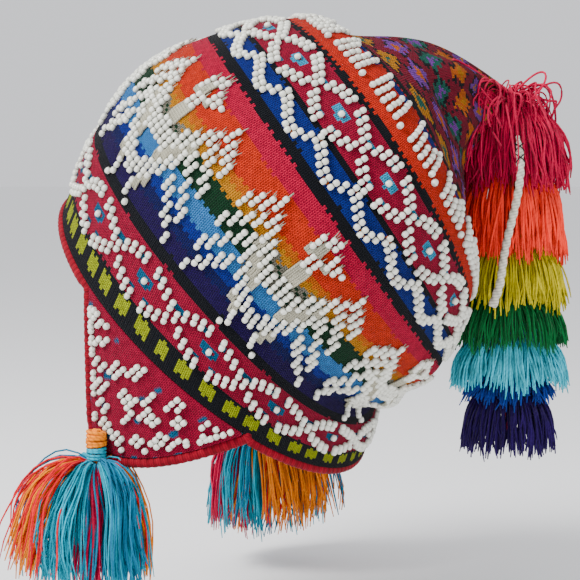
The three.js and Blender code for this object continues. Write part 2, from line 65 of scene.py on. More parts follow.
class Hue(Enum):
    """Dyed wool and glass colours of the hat, as sRGB hex values."""

    BLACK = "10131B"
    LIME = "AEBC08"
    CRIMSON = "B2063A"
    TEAL = "0A6C98"
    SKY = "3BB6E6"
    VIOLET = "220A52"
    INDIGO = "10165C"
    ROYAL = "0C2C98"
    COBALT = "0C2A8C"
    PALE_BLUE = "3E88D2"
    GREEN = "083C20"
    GOLD = "DE900A"
    ORANGE = "E87008"
    RED_ORANGE = "EC3410"
    PINK = "D80042"
    VERMILION = "F02E12"
    TAIL_CRIMSON = "8A0A2C"
    LILAC = "8E48B8"
    DARK_TEAL = "14705E"
    BINDING = "7E041A"
    IVORY = "DCD8C6"
    # Ivory float yarn, darkened below the cord's ivory as painted shade of the gaps between the beads
    SHADED_FLOAT = "9E9A88"
    BEAD = "D6D6CB"
    THREAD = "15161C"
    FLAP_RED = "D40E1E"
    FLAP_ORANGE = "E47E04"
    FLAP_TURQUOISE = "009AB2"
    FLAP_DEEP_TEAL = "0B6F92"
    MOP = "B8063C"
    CORAL = "FF3A26"
    OLIVE = "C0B208"
    LEAF = "0A6430"
    TURQUOISE = "3CC0D4"
    BLUE = "103488"
    GRAPE = "200A4A"


class Slot(Enum):
    """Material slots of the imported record."""

    CROWN = "knit_crown"
    FLAP = "knit_flap"
    BINDING = "crochet_binding"
    ORANGE = "orange_yarn"
    TURQUOISE = "turquoise_yarn"
    MIXED = "mixed_yarn"
    CRIMSON = "crimson_yarn"
    CORAL = "coral_yarn"
    YELLOW = "yellow_yarn"
    GREEN = "green_yarn"
    SKY = "sky_yarn"
    BLUE = "blue_yarn"
    VIOLET = "violet_yarn"
    IVORY = "ivory_yarn"
    BEADS = "glass_beads"


def linear(hue: Hue, light: float = 1.0) -> Rgba:
    """Turn a hue's sRGB hex value into linear colour.

    Args:
        hue: the hue.
        light: factor on its lightness.

    Returns:
        Linear red, green, blue and an alpha of 1.
    """
    parts = [int(hue.value[i:i + 2], 16) / 255 for i in (0, 2, 4)]
    red, green, blue = (c / 12.92 if c <= 0.04045 else ((c + 0.055) / 1.055) ** 2.4 for c in parts)
    return (red * light, green * light, blue * light, 1.0)


def tinted(hue: Hue, light: Array) -> Array:
    """Linear colours of one hue, a row for each value of its lightness."""
    light = np.asarray(light).reshape(-1, 1)
    return np.concatenate([np.array(linear(hue))[None, :3] * light, np.ones_like(light)], 1)


def smoothstep(value: Array, low: float, high: float) -> Array:
    """Ease from 0 at low to 1 at high."""
    share = np.clip((value - low) / (high - low), 0, 1)
    return share * share * (3 - 2 * share)


def unit(vectors: Array) -> Array:
    """Scale vectors to length 1."""
    return vectors / np.maximum(np.linalg.norm(vectors, axis=-1, keepdims=True), 1e-9)


def link(item: bpy.types.Object) -> bpy.types.Object:
    """Put an object into the scene and give it back."""
    bpy.context.scene.collection.objects.link(item)
    return item


def grid_faces(rows: int, columns: int, closed: bool) -> Array:
    """Faces of a grid of points that are listed row after row.

    Args:
        rows: number of rows.
        columns: number of points in a row.
        closed: whether each row joins its own start.

    Returns:
        Four corner numbers a face.
    """
    spans = columns if closed else columns - 1
    row, column = np.meshgrid(np.arange(rows - 1), np.arange(spans), indexing="ij")
    after = (column + 1) % columns
    low, high = row * columns, (row + 1) * columns
    return np.stack([low + column, low + after, high + after, high + column], -1).reshape(-1, 4)


@dataclass
class MeshParts:
    """Shapes that are gathered before they become one mesh.

    Attributes:
        points: arrays of points in millimetres.
        faces: arrays of faces, with as many columns as the faces have corners.
        colors: one linear colour per point, as arrays.
        uvs: one pattern place per point, as arrays.
        count: number of points so far.
    """

    points: list[Array] = field(default_factory=list)
    faces: list[Array] = field(default_factory=list)
    colors: list[Array] = field(default_factory=list)
    uvs: list[Array] = field(default_factory=list)
    count: int = 0

    def add(self, points: Array, faces: list[Array], color: Array, uv: Array | None = None) -> None:
        """Add shapes that share a list of points.

        Args:
            points: the points, one row each.
            faces: lists of faces, whose corner numbers start at 0.
            color: one linear colour for all points, or one row each.
            uv: pattern places, one row per point.
        """
        number = len(points)
        self.points.append(points)
        self.faces += [part + self.count for part in faces]
        self.colors.append(np.broadcast_to(np.asarray(color, float), (number, 4)))
        self.uvs.append(np.zeros((number, 2)) if uv is None else uv)
        self.count += number

    def strands(self, routes: Array, radii: Array, colors: Array, sides: int = 4) -> None:
        """Add many round strands of yarn with closed ends.

        Args:
            routes: points of each strand's middle line, as strands by steps by 3.
            radii: radius at each point, as strands by steps.
            colors: one linear colour per strand.
            sides: sides of each strand.
        """
        number, steps = routes.shape[:2]
        along = unit(np.gradient(routes, axis=1))
        helper = np.where(np.abs(along[..., 2:3]) > 0.9, [1.0, 0.0, 0.0], [0.0, 0.0, 1.0])
        across = unit(np.cross(along, helper))
        up = np.cross(across, along)
        angle = TAU * np.arange(sides) / sides
        ring = np.cos(angle)[:, None] * across[:, :, None] + np.sin(angle)[:, None] * up[:, :, None]
        points = routes[:, :, None] + ring * radii[:, :, None, None]
        first = (np.arange(number) * steps * sides)[:, None, None]
        side = (grid_faces(steps, sides, True)[:, ::-1][None] + first).reshape(-1, 4)
        cap = np.arange(sides)
        caps = [(cap[None, None] + first).reshape(-1, sides),
                (cap[::-1][None, None] + first + (steps - 1) * sides).reshape(-1, sides)]
        travel = np.linalg.norm(np.diff(routes, axis=1), axis=-1)
        length = np.concatenate([np.zeros((number, 1)), np.cumsum(travel, axis=1)], axis=1)
        uv = np.stack(np.broadcast_arrays(np.arange(sides) / sides, length[:, :, None]), -1)
        color = np.repeat(np.broadcast_to(colors, (number, 4)), steps * sides, axis=0)
        self.add(points.reshape(-1, 3), [side, *caps], color, uv.reshape(-1, 2))

    def build(
        self,
        name: str,
        corner_colors: Array | None = None,
        corner_uvs: Array | None = None,
    ) -> bpy.types.Object:
        """Make one object of all the shapes.

        Args:
            name: the piece's name.
            corner_colors: colours of the face corners, in place of those of the points.
            corner_uvs: pattern places of the face corners, in place of those of the points.

        Returns:
            The new object, at the origin, with a Yarn colour and a Pattern UV map.
        """
        points = np.concatenate(self.points) * MM
        sizes = np.concatenate([np.full(len(part), part.shape[1]) for part in self.faces])
        corners = np.concatenate([part.ravel() for part in self.faces]).astype(np.int32)
        mesh = bpy.data.meshes.new(name)
        mesh.vertices.add(len(points))
        mesh.vertices.foreach_set("co", points.ravel())
        mesh.loops.add(len(corners))
        mesh.loops.foreach_set("vertex_index", corners)
        mesh.polygons.add(len(sizes))
        mesh.polygons.foreach_set("loop_start", (np.cumsum(sizes) - sizes).astype(np.int32))
        mesh.polygons.foreach_set("use_smooth", np.full(len(sizes), True))
        mesh.update(calc_edges=True)
        domain = "POINT" if corner_colors is None else "CORNER"
        colors = np.concatenate(self.colors) if corner_colors is None else corner_colors
        layer = mesh.color_attributes.new("Yarn", "FLOAT_COLOR", domain)
        layer.data.foreach_set("color", colors.ravel())
        uvs = np.concatenate(self.uvs)[corners] if corner_uvs is None else corner_uvs
        mesh.uv_layers.new(name="Pattern").data.foreach_set("uv", uvs.ravel())
        return link(bpy.data.objects.new(name, mesh))


def spline(points: Array, count: int) -> Array:
    """Smooth line through a few points.

    Args:
        points: the points that it passes through.
        count: number of points wanted.

    Returns:
        That many points, evenly spread over the spans.
    """
    padded = np.concatenate([2 * points[:1] - points[1:2], points, 2 * points[-1:] - points[-2:-1]])
    place = np.linspace(0, len(points) - 1, count)
    index = np.minimum(place.astype(int), len(points) - 2)
    t = (place - index)[:, None]
    a, b, c, d = (padded[index + k] for k in range(4))
    square, cube = 2 * a - 5 * b + 4 * c - d, 3 * b - a - 3 * c + d
    return 0.5 * (2 * b + (c - a) * t + square * t ** 2 + cube * t ** 3)


# Finishes


Socket = bpy.types.NodeSocket


class Finish:
    """One material and its nodes, with a short call for each kind of node that the finishes share."""

    def __init__(self, name: str) -> None:
        """Start a material with an empty node tree.

        Args:
            name: the material's name.
        """
        self.material = bpy.data.materials.new(name)
        self.material.use_nodes = True
        self.material.node_tree.nodes.clear()

    def node(
        self,
        kind: str,
        settings: dict[str | int, object] | None = None,
        links: dict[str | int, Socket] | None = None,
    ) -> bpy.types.Node:
        """Add one node.

        Args:
            kind: the node's type.
            settings: values by the name or number of an input, or by the name of the node's own setting.
            links: sockets of other nodes, by the name or number of the input that they go to.

        Returns:
            The new node.
        """
        tree = self.material.node_tree
        node = tree.nodes.new(kind)
        for key, value in (settings or {}).items():
            if isinstance(key, str) and hasattr(node, key):
                setattr(node, key, value)
            else:
                node.inputs[key].default_value = value
        for key, socket in (links or {}).items():
            tree.links.new(socket, node.inputs[key])
        return node

    def maths(self, operation: str, *inputs: Socket | float) -> Socket:
        """Work out one value from other nodes' values and plain numbers."""
        numbers = {place: value for place, value in enumerate(inputs) if isinstance(value, float)}
        sockets = {place: value for place, value in enumerate(inputs) if place not in numbers}
        return self.node("ShaderNodeMath", {"operation": operation, **numbers}, sockets).outputs[0]

    def noise(self, scale: float, detail: float) -> Socket:
        """Cloudy noise in the piece's own space, with blots of about one metre over the scale."""
        spot = self.node("ShaderNodeTexCoord").outputs["Object"]
        noise = self.node("ShaderNodeTexNoise", {"Scale": scale, "Detail": detail}, {"Vector": spot})
        return noise.outputs["Fac"]

    def remap(self, value: Socket, low: float, high: float, first: float, last: float) -> Socket:
        """Turn values from low to high into values from first to last."""
        ends = {"From Min": low, "From Max": high, "To Min": first, "To Max": last}
        return self.node("ShaderNodeMapRange", ends, {"Value": value}).outputs[0]

    def pattern(self) -> tuple[Socket, Socket]:
        """Both parts of a place on the piece's Pattern UV map."""
        place = self.node("ShaderNodeUVMap", {"uv_map": "Pattern"})
        parts = self.node("ShaderNodeSeparateXYZ", links={0: place.outputs[0]})
        return parts.outputs[0], parts.outputs[1]

    def relief(self, height: Socket, strength: float, depth: float) -> dict[str, Socket]:
        """Shader link of a relief of a depth in millimetres."""
        bump = self.node("ShaderNodeBump", {"Strength": strength, "Distance": depth * MM}, {"Height": height})
        return {"Normal": bump.outputs[0]}

    def end(self, light: Socket, settings: dict[str, float], links: dict[str, Socket]) -> bpy.types.Material:
        """Add the shader, in the piece's Yarn colours.

        Args:
            light: lightness that the colours are multiplied by, which in the wool finishes holds painted
                shade in their grooves.
            settings: values of the shader.
            links: further links of the shader.

        Returns:
            The material.
        """
        dye = self.node("ShaderNodeAttribute", {"attribute_name": "Yarn"}).outputs["Color"]
        color = self.node("ShaderNodeVectorMath", {"operation": "SCALE"}, {0: dye, "Scale": light})
        shader = self.node("ShaderNodeBsdfPrincipled", settings, {"Base Color": color.outputs[0], **links})
        self.node("ShaderNodeOutputMaterial", links={0: shader.outputs[0]})
        return self.material


@dataclass(frozen=True)
class WoolYarn:
    """Spun and dyed wool: a soft matt fibre with a pale haze of fluff and plies that wind round it, with
    painted shade in the groove between the plies.

    Attributes:
        name: the material's name.
        twist: length of one turn of the plies in millimetres.
        depth: depth of the groove between the plies in millimetres.
        mottle: how far the dye varies in lightness.
        groove: lightness of the painted shade in the groove between the plies.
    """

    name: str
    twist: float = 2.6
    depth: float = 0.25
    mottle: float = 0.22
    groove: float = 0.62

    def material(self) -> bpy.types.Material:
        """Build the material: fluff about 1 mm long, dye that takes unevenly over about 8 mm, and painted
        shade in the grooves between the plies.
        """
        wool = Finish(self.name)
        side, travel = wool.pattern()
        wave = wool.maths("PINGPONG", wool.maths("MULTIPLY_ADD", travel, 1 / self.twist, side), 0.5)
        light = wool.remap(wool.noise(120.0, 2.0), 0.3, 0.7, 1 - self.mottle, 1 + self.mottle)
        # Painted shade: the colour darkens towards the groove between the plies.
        groove = wool.remap(wave, 0.0, 0.3, self.groove, 1.0)
        height = wool.maths("MULTIPLY_ADD", wool.noise(900.0, 2.0), 0.35, wave)
        matt = {"Roughness": 0.88, "Specular IOR Level": 0.12, "Sheen Weight": 0.06, "Sheen Roughness": 0.4}
        return wool.end(wool.maths("MULTIPLY", light, groove), matt, wool.relief(height, 0.8, self.depth))


@dataclass(frozen=True)
class WoolKnit:
    """Stocking stitch in fine wool: each stitch is a V of two plump legs, with painted shade in the groove on
    each side.

    Attributes:
        name: the material's name.
        depth: height of a leg of a stitch in millimetres.
        slant: how far a leg climbs over half a stitch, in stitch heights.
    """

    name: str
    depth: float = 1.3
    slant: float = 1.0

    def material(self) -> bpy.types.Material:
        """Build the material. One unit of the Pattern UV map is one stitch each way.

        The fluff is about 0.7 mm long, and stitches differ in lightness over about 2.5 mm.
        """
        knit = Finish(self.name)
        across, up = knit.pattern()
        side = knit.maths("PINGPONG", across, 0.5)
        climb = knit.maths("MULTIPLY_ADD", side, -2 * self.slant, up)
        width = knit.maths("MULTIPLY", knit.maths("PINGPONG", side, 0.25), 4.0)
        length = knit.maths("MULTIPLY", knit.maths("PINGPONG", climb, 0.5), 2.0)
        leg = knit.maths("MULTIPLY", knit.maths("POWER", width, 0.55), knit.maths("POWER", length, 0.5))
        light = knit.remap(knit.noise(420.0, 2.0), 0.3, 0.7, 0.8, 1.2)
        # Painted shade: the colour darkens to 0.14 of its lightness in the grooves between the legs of the
        # stitches.
        groove = knit.remap(leg, 0.0, 0.8, 0.14, 0.86)
        height = knit.maths("MULTIPLY_ADD", knit.noise(1500.0, 3.0), 0.3, leg)
        matt = {"Roughness": 0.92, "Specular IOR Level": 0.08, "Sheen Weight": 0.03, "Sheen Roughness": 0.4}
        return knit.end(knit.maths("MULTIPLY", light, groove), matt, knit.relief(height, 0.9, self.depth))


@dataclass(frozen=True)
class SeedBeadGlass:
    """Opaque pressed glass of seed beads: milky, smooth, with a small bright highlight on each bead."""

    name: str = "Opaque seed bead glass"

    def material(self) -> bpy.types.Material:
        """Build the material. Its milkiness varies from bead to bead."""
        glass = Finish(self.name)
        light = glass.remap(glass.noise(260.0, 1.0), 0.35, 0.65, 0.93, 1.04)
        gloss = {"Roughness": 0.3, "IOR": 1.5, "Coat Weight": 0.25, "Coat Roughness": 0.12}
        return glass.end(light, gloss, {})


def dress(piece: bpy.types.Object, finish: bpy.types.Material, slot: Slot, *nodes: str) -> bpy.types.Object:
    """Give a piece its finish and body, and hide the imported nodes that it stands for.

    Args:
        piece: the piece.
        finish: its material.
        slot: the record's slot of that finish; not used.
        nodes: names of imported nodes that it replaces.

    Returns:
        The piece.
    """
    piece.data.materials.clear()
    piece.data.materials.append(finish)
    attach(piece, "root")
    if nodes:
        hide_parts(*nodes)
    LOG.info("%s: %d faces", piece.name, len(piece.data.polygons))
    return piece


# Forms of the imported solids


SECTION_ROWS = np.array([
    # along, x, y, z, tilt, turn, side, front, back
    [0, 0, -3, -140, 42, 0, 83, 102, 102],
    [45, 0, 14, -106, 48, -12, 88, 102, 101],
    [135, -6, 58, -76, 55, -27, 93, 99, 99],
    [190, -16, 85, -55, 59, -40, 76, 78, 76],
    [225, -27, 96, -40, 64, -40, 52, 50, 50],
    [255, -40, 107, -33, 84, -42, 34, 31, 30],
    [295, -61, 123, -28, 100, -44, 10, 10, 10],
], float)
FOLD_ROWS = (
    # around in degrees, along, span around, span along, depth
    (178, 46, 42, 9, -5),
    (176, 66, 46, 13, 4.5),
    (20, 212, 34, 12, -3.5),
    (118, 216, 30, 14, -4),
    (80, 238, 34, 9, -5),
    (262, 150, 36, 22, -6),
    (285, 205, 30, 12, 4),
)


@dataclass(frozen=True)
class CrownForm:
    """Surface of the crown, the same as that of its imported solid."""

    length: float = 295.0
    wall: float = 3.0
    rim_blend: float = 6.0
    tip_cap: float = 4.5
    gathers: int = 7
    gather_depth: float = 1.6

    def column(self, number: int, along: Array) -> Array:
        """Smooth value of one column of the section table."""
        keys, values = SECTION_ROWS[:, 0], SECTION_ROWS[:, number]
        spans = np.diff(keys)
        slopes = np.diff(values) / spans
        inner = (slopes[:-1] * spans[1:] + slopes[1:] * spans[:-1]) / (spans[:-1] + spans[1:])
        tangents = np.concatenate([slopes[:1], inner, slopes[-1:]])
        i = np.clip(np.searchsorted(keys, along) - 1, 0, len(keys) - 2)
        span = spans[i]
        t = (along - keys[i]) / span
        rest = 1 - t
        return (values[i] * (1 + 2 * t) * rest ** 2 + tangents[i] * span * t * rest ** 2
                + values[i + 1] * t ** 2 * (3 - 2 * t) + tangents[i + 1] * span * t ** 2 * (t - 1))

    def frame(self, along: Array) -> tuple[Array, Array, Array, Array]:
        """Centre and the leftward, forward and onward directions of rings of the crown."""
        tilt, turn = np.radians(self.column(4, along)), np.radians(self.column(5, along))
        centre = np.stack([self.column(k, along) for k in (1, 2, 3)], -1)
        leftward = np.stack([np.cos(turn), -np.sin(turn), 0 * turn], -1)
        level = np.stack([np.sin(turn), np.cos(turn), 0 * turn], -1)
        rise = np.array([0, 0, 1.0])
        forward = -np.cos(tilt)[..., None] * level + np.sin(tilt)[..., None] * rise
        onward = np.sin(tilt)[..., None] * level + np.cos(tilt)[..., None] * rise
        return centre, leftward, forward, onward

    def plain(self, around: Array, along: Array, inset: float = 0.0) -> Array:
        """Point of the crown before its folds."""
        centre, leftward, forward, _ = self.frame(along)
        reach = np.where(np.cos(around) > 0, self.column(7, along), self.column(8, along)) - inset
        side = self.column(6, along) - inset
        aside, ahead = side * np.sin(around), reach * np.cos(around)
        return centre + aside[..., None] * leftward + ahead[..., None] * forward

    def normal(self, around: Array, along: Array) -> Array:
        """Outward direction of the crown before its folds."""
        sideways = self.plain(around + 0.02, along) - self.plain(around - 0.02, along)
        high, low = np.minimum(along + 1.5, self.length), np.maximum(along - 1.5, 0)
        return unit(np.cross(sideways, self.plain(around, high) - self.plain(around, low)))

    def fold(self, around: Array, along: Array) -> Array:
        """Height of the folds and gathers."""
        degrees = np.degrees(around)
        depth = self.gather_depth * smoothstep(along, 222, 250) * np.cos(self.gathers * around)
        for place, row, span_around, span_along, height in FOLD_ROWS:
            sideways = np.abs((degrees - place + 540) % 360 - 180) / span_around
            depth = depth + height * np.exp(-sideways ** 2 - ((along - row) / span_along) ** 2)
        return depth

    def point(self, around: Array, along: Array, inset: float = 0.0) -> Array:
        """Point of the crown's skin, or inside it by an inset."""
        around, along = np.broadcast_arrays(np.asarray(around, float), np.asarray(along, float))
        blend = smoothstep(along, 0, self.rim_blend)[..., None]
        lift = self.normal(around, along) * (self.fold(around, along) - inset)[..., None]
        return self.plain(around, along, inset) * (1 - blend) + (self.plain(around, along) + lift) * blend


@dataclass(frozen=True)
class Weave:
    """How the knitted pattern lies on the crown: columns lean round it and rows dip at the nape."""

    form: CrownForm = CrownForm()
    columns: float = COLUMNS
    stretch: float = 1.4
    centre: float = 27.4
    lean: float = 0.049
    level_row: float = 90.0
    dip: float = 5.0
    dip_column: float = 50.0
    dip_span: float = 14.0

    def place(self, column: Array, row: Array) -> tuple[Array, Array]:
        """Angle and distance along of a pattern place."""
        column, row = np.broadcast_arrays(np.asarray(column, float), np.asarray(row, float))
        level = column + self.stretch * np.sin(TAU * (column - self.centre) / self.columns)
        aside = (level - self.dip_column + self.columns / 2) % self.columns - self.columns / 2
        sag = np.sin(np.pi * np.clip(row / self.level_row, 0, 1))
        along = row - self.dip * sag * np.exp(-(aside / self.dip_span) ** 2)
        around = TAU * (level - self.lean * (row - self.level_row)) / self.columns
        return around, np.clip(along, 0, self.form.length)

    def point(self, column: Array, row: Array, inset: float = 0.0) -> Array:
        """Point of a pattern place."""
        around, along = self.place(column, row)
        return self.form.point(around, along, inset)

    def axes(self, column: Array, row: Array) -> tuple[Array, Array, Array]:
        """Point, outward direction and wale direction of pattern places."""
        middle = self.point(column, row)
        wale = unit(self.point(column, row + 1.5) - self.point(column, row - 1.5))
        course = self.point(column + 0.3, row) - self.point(column - 0.3, row)
        return middle, unit(np.cross(course, wale)), wale


@dataclass(frozen=True)
class FlapForm:
    """Surface of the left ear flap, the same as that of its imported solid."""

    side: float = 83.0
    rim_y: float = -3.0
    rim_z: float = -140.0
    tilt: float = math.radians(42)
    rim_reach: float = 102.0
    front_top: float = -28.5
    back_top: float = 47.0
    corner: tuple[float, float] = (-14.5, -182.0)
    corner_radius: float = 16.5
    foot_middle: tuple[float, float] = (14.0, -200.5)
    foot_back: float = -186.5
    lean: float = 4.5
    lean_depth: float = 75.0
    wall: float = 3.0
    gap: float = 0.4

    def rim_height(self, y: Array) -> Array:
        """Height of the rim's plane."""
        return self.rim_z - (y - self.rim_y) * math.tan(self.tilt)

    def point(self, y: Array, z: Array, inset: float = 0.0) -> Array:
        """Point of the flap at a place of the side view, under its outer face by inset."""
        depth = self.rim_reach * math.cos(self.tilt)
        ahead = (y - self.rim_y) / depth
        x = self.side * np.sqrt(1 - ahead ** 2)
        outward = unit(np.stack([x / self.side ** 2, (y - self.rim_y) / depth ** 2, 0 * x], -1))
        hang = np.maximum(self.rim_height(y) - z, 0) / self.lean_depth
        return np.stack([x - self.lean * hang ** 1.5, y, z], -1) - inset * outward

    def foot(self, count: int) -> Array:
        """Foot of the flap in the side view, from the front edge to the back corner, evenly spaced."""
        angle = np.linspace(math.pi, 1.5 * math.pi, 60)[:, None]
        corner = np.array(self.corner)
        arc = corner + self.corner_radius * np.concatenate([np.cos(angle), np.sin(angle)], 1)
        t = np.linspace(0, 1, 120)[1:, None]
        end = np.array([self.back_top, self.foot_back])
        curve = (1 - t) ** 2 * arc[-1] + 2 * t * (1 - t) * np.array(self.foot_middle) + t ** 2 * end
        return resample(np.concatenate([arc, curve]), count)

    def across(self, a: Array, b: Array) -> tuple[Array, Array]:
        """Side view place of a along the rim from the front corner and b away from the rim."""
        y = self.front_top + a * math.cos(self.tilt) - b * math.sin(self.tilt)
        z = self.rim_height(self.front_top) - a * math.sin(self.tilt) - b * math.cos(self.tilt)
        return y, z


def travelled(line: Array) -> Array:
    """Distance of each point of a line from its start, along the line."""
    return np.concatenate([[0], np.cumsum(np.linalg.norm(np.diff(line, axis=0), axis=1))])


def resample(line: Array, count: int) -> Array:
    """Points at equal distances along a line of points."""
    travel = travelled(line)
    wanted = np.linspace(0, travel[-1], count)
    return np.stack([np.interp(wanted, travel, line[:, k]) for k in range(line.shape[1])], -1)


# Bead work


@dataclass
class BeadWork:
    """Seed beads sewn on in short runs along the wales; the ivory thread that floats between them is laid by
    KnitCrown.floats.

    Attributes:
        width: width of a bead in millimetres.
        length: length of a bead along its hole.
        pitch: distance between beads of a run.
        sides: sides of a bead.
        profile: rings of a bead, as shares of its half width and half length.
        seat: height of a bead's middle over the knitting.
    """

    width: float = 3.05
    length: float = 2.9
    pitch: float = 3.12
    sides: int = 8
    profile: tuple[tuple[float, float], ...] = (
        (0.26, -0.84), (0.68, -1.0), (1.0, -0.42), (1.0, 0.42), (0.68, 1.0), (0.26, 0.84),
    )
    seat: float = 0.9

    def place(self, parts: MeshParts, centres: Array, wales: Array, outs: Array, seed: int) -> None:
        """Add beads to a piece.

        Args:
            parts: the piece's shapes.
            centres: points of the knitting under the beads.
            wales: direction of each bead's hole.
            outs: outward direction at each bead.
            seed: seed of the small differences between beads.
        """
        rng = np.random.default_rng(seed)
        number = len(centres)
        wales = unit(wales + rng.normal(0, 0.07, (number, 3)))
        across = unit(np.cross(wales, outs))
        up = np.cross(across, wales)
        middle = centres + outs * (self.seat + rng.uniform(-0.15, 0.25, (number, 1)))
        middle = middle + across * rng.normal(0, 0.16, (number, 1))
        size = rng.normal(1, 0.035, (number, 1, 1))
        shape = np.array(self.profile)
        angle = TAU * (np.arange(self.sides) + 0.5) / self.sides
        ring = np.cos(angle)[:, None] * across[:, None, None] + np.sin(angle)[:, None] * up[:, None, None]
        radius = (shape[:, 0] * self.width / 2)[None, :, None, None] * size[..., None]
        height = (shape[:, 1] * self.length / 2)[None, :, None, None]
        points = middle[:, None, None] + ring * radius + wales[:, None, None] * height
        rows = len(shape)
        first = (np.arange(number) * rows * self.sides)[:, None, None]
        faces = (grid_faces(rows, self.sides, True)[:, ::-1][None] + first).reshape(-1, 4)
        cap = np.arange(self.sides)
        caps = [(cap[None, None] + first).reshape(-1, self.sides),
                (cap[::-1][None, None] + first + (rows - 1) * self.sides).reshape(-1, self.sides)]
        tone = np.clip(tinted(Hue.BEAD, rng.normal(1, 0.03, (number, 1))), 0, 1)
        parts.add(points.reshape(-1, 3), [faces, *caps], np.repeat(tone, rows * self.sides, axis=0))


# Half of the bird of the rainbow band. Each run is its bead column, the row of its upper end and
# its number of beads; columns are counted to the left of the bird's middle.
WING_RUNS = (
    (10, 104, 3), (10, 85, 3), (10, 65.5, 3), (10, 49, 2),
    (9, 110, 3), (9, 91.5, 3), (9, 71, 3), (9, 55, 2),
    (8, 113.5, 3), (8, 98, 3), (8, 78.5, 3), (8, 60.5, 3),
    (7, 119.5, 3), (7, 103.5, 3), (7, 87, 3), (7, 67, 3),
    (6, 110, 3), (6, 91, 3), (6, 71, 3),
    (5, 105.5, 4), (5, 86, 4),
    (4, 98.5, 4), (4, 77, 4),
    (3, 94, 4), (3, 70, 4),
    (2, 86, 4), (2, 66, 4),
    (1, 84.5, 3), (1, 63, 3),
    (0, 88, 4), (0, 59, 3),
)
# The bird's neck, head and legs, by bead column to the right of its left middle column
BODY_RUNS = (
    (0, 112.5, 3), (1, 113, 3),
    (-1, 124, 3), (0, 127.5, 2), (1, 129, 2), (2, 122.5, 3), (3, 119.5, 2), (4, 118.5, 1),
    (-1.7, 50.5, 3), (-2.6, 41.5, 1), (2.3, 50.5, 3), (3.2, 41.0, 1),
)
# Stretches where ivory yarn floats over the knitting: column to the left, upper row, lower row
WING_FLOATS = ((5, 92, 86), (4, 84.5, 77), (3, 80, 70), (2, 73, 66), (0, 102, 88), (2, 53, 48), (3, 57, 53))
# Head's own floats, column to the right
HEAD_FLOATS = ((-1, 114, 110), (0, 121, 112.5), (2, 112.5, 110))
# Stepped lozenge band: bead column of ten, and rows of the middle of a pair above and below centre
LOZENGE_PAIRS = (
    (0, 0.0), (1, 3.8), (2, 6.1), (3, 7.3), (4, 7.9), (6, 7.6), (7, 6.2), (8, 4.4), (9, 2.4),
    (1, -4.4), (2, -6.6), (3, -8.4), (4, -9.6), (6, -9.4), (7, -8.0), (8, -6.2), (9, -4.2),
)
WAVE_PAIRS = (4.2, 3.2, 1.4, -0.6, -2.4, -3.2, -2.0, 1.2)
COMB_STEPS = (5, 4, 3, 4, 5, 1)


@dataclass(frozen=True)
class Band:
    """A band of pattern that repeats round the crown.

    Attributes:
        repeats: number of repeats.
        phase: column of the first repeat.
        row: row of the band's middle.
    """

    repeats: int
    phase: float
    row: float

    def starts(self) -> Array:
        """Columns at which the repeats start."""
        return self.phase + np.arange(self.repeats) * COLUMNS / self.repeats

    @property
    def half(self) -> float:
        """Half the width of a repeat in columns."""
        return COLUMNS / 2 / self.repeats

    def offset(self, column: Array) -> Array:
        """Distance in columns from the nearest start, before or after."""
        width = COLUMNS / self.repeats
        return (column - self.phase + width / 2) % width - width / 2


BLOCKS = Band(47, 17.2, 8.0)
LOW_LOZENGES = Band(15, 22.1, 24.6)
BIRDS = Band(7, 0.4, 85.0)
WAVES = Band(23, 22.7, 143.3)
HIGH_LOZENGES = Band(16, 23.2, 162.2)
COMBS = Band(18, 21.0, 181.0)

STRIPES = (
    (14.0, Hue.BLACK), (36.5, Hue.CRIMSON), (42.0, Hue.BLACK), (50.0, Hue.VIOLET), (56.0, Hue.INDIGO),
    (62.5, Hue.ROYAL), (74.5, Hue.PALE_BLUE), (89.5, Hue.GREEN), (97.0, Hue.GOLD), (102.5, Hue.ORANGE),
    (120.0, Hue.RED_ORANGE), (131.5, Hue.PINK), (137.5, Hue.BLACK), (149.5, Hue.COBALT), (152.0, Hue.BLACK),
    (172.5, Hue.CRIMSON), (176.0, Hue.BLACK), (201.0, Hue.VERMILION), (206.0, Hue.BLACK),
    (300.0, Hue.TAIL_CRIMSON),
)
TAIL_FLECKS = (Hue.GOLD, Hue.LILAC, Hue.DARK_TEAL, Hue.ORANGE, Hue.LILAC, Hue.GOLD)
# First and last row of the tail's diamonds, and their size in columns and rows
TAIL_ROWS = (207.0, 290.0)
TAIL_CELL = (9.0, 13.0)
# Row from which on two neighbouring stitches share one colour and one drawn stitch
COARSE_ROW = 205.0
# Half width of the heart of a lozenge, in columns
HEART_REACH = 0.95
# Orange specks of the wavy line: columns from a repeat's start, middle row, half width, half height
WAVE_SPECKS = ((0.3, 148.2, 0.5, 1.2), (3.4, 139.2, 0.4, 1.0))


def cover(color: Array, where: Array, hue: Hue, light: float = 1.0) -> None:
    """Repaint some stitches."""
    color[where] = linear(hue, light)


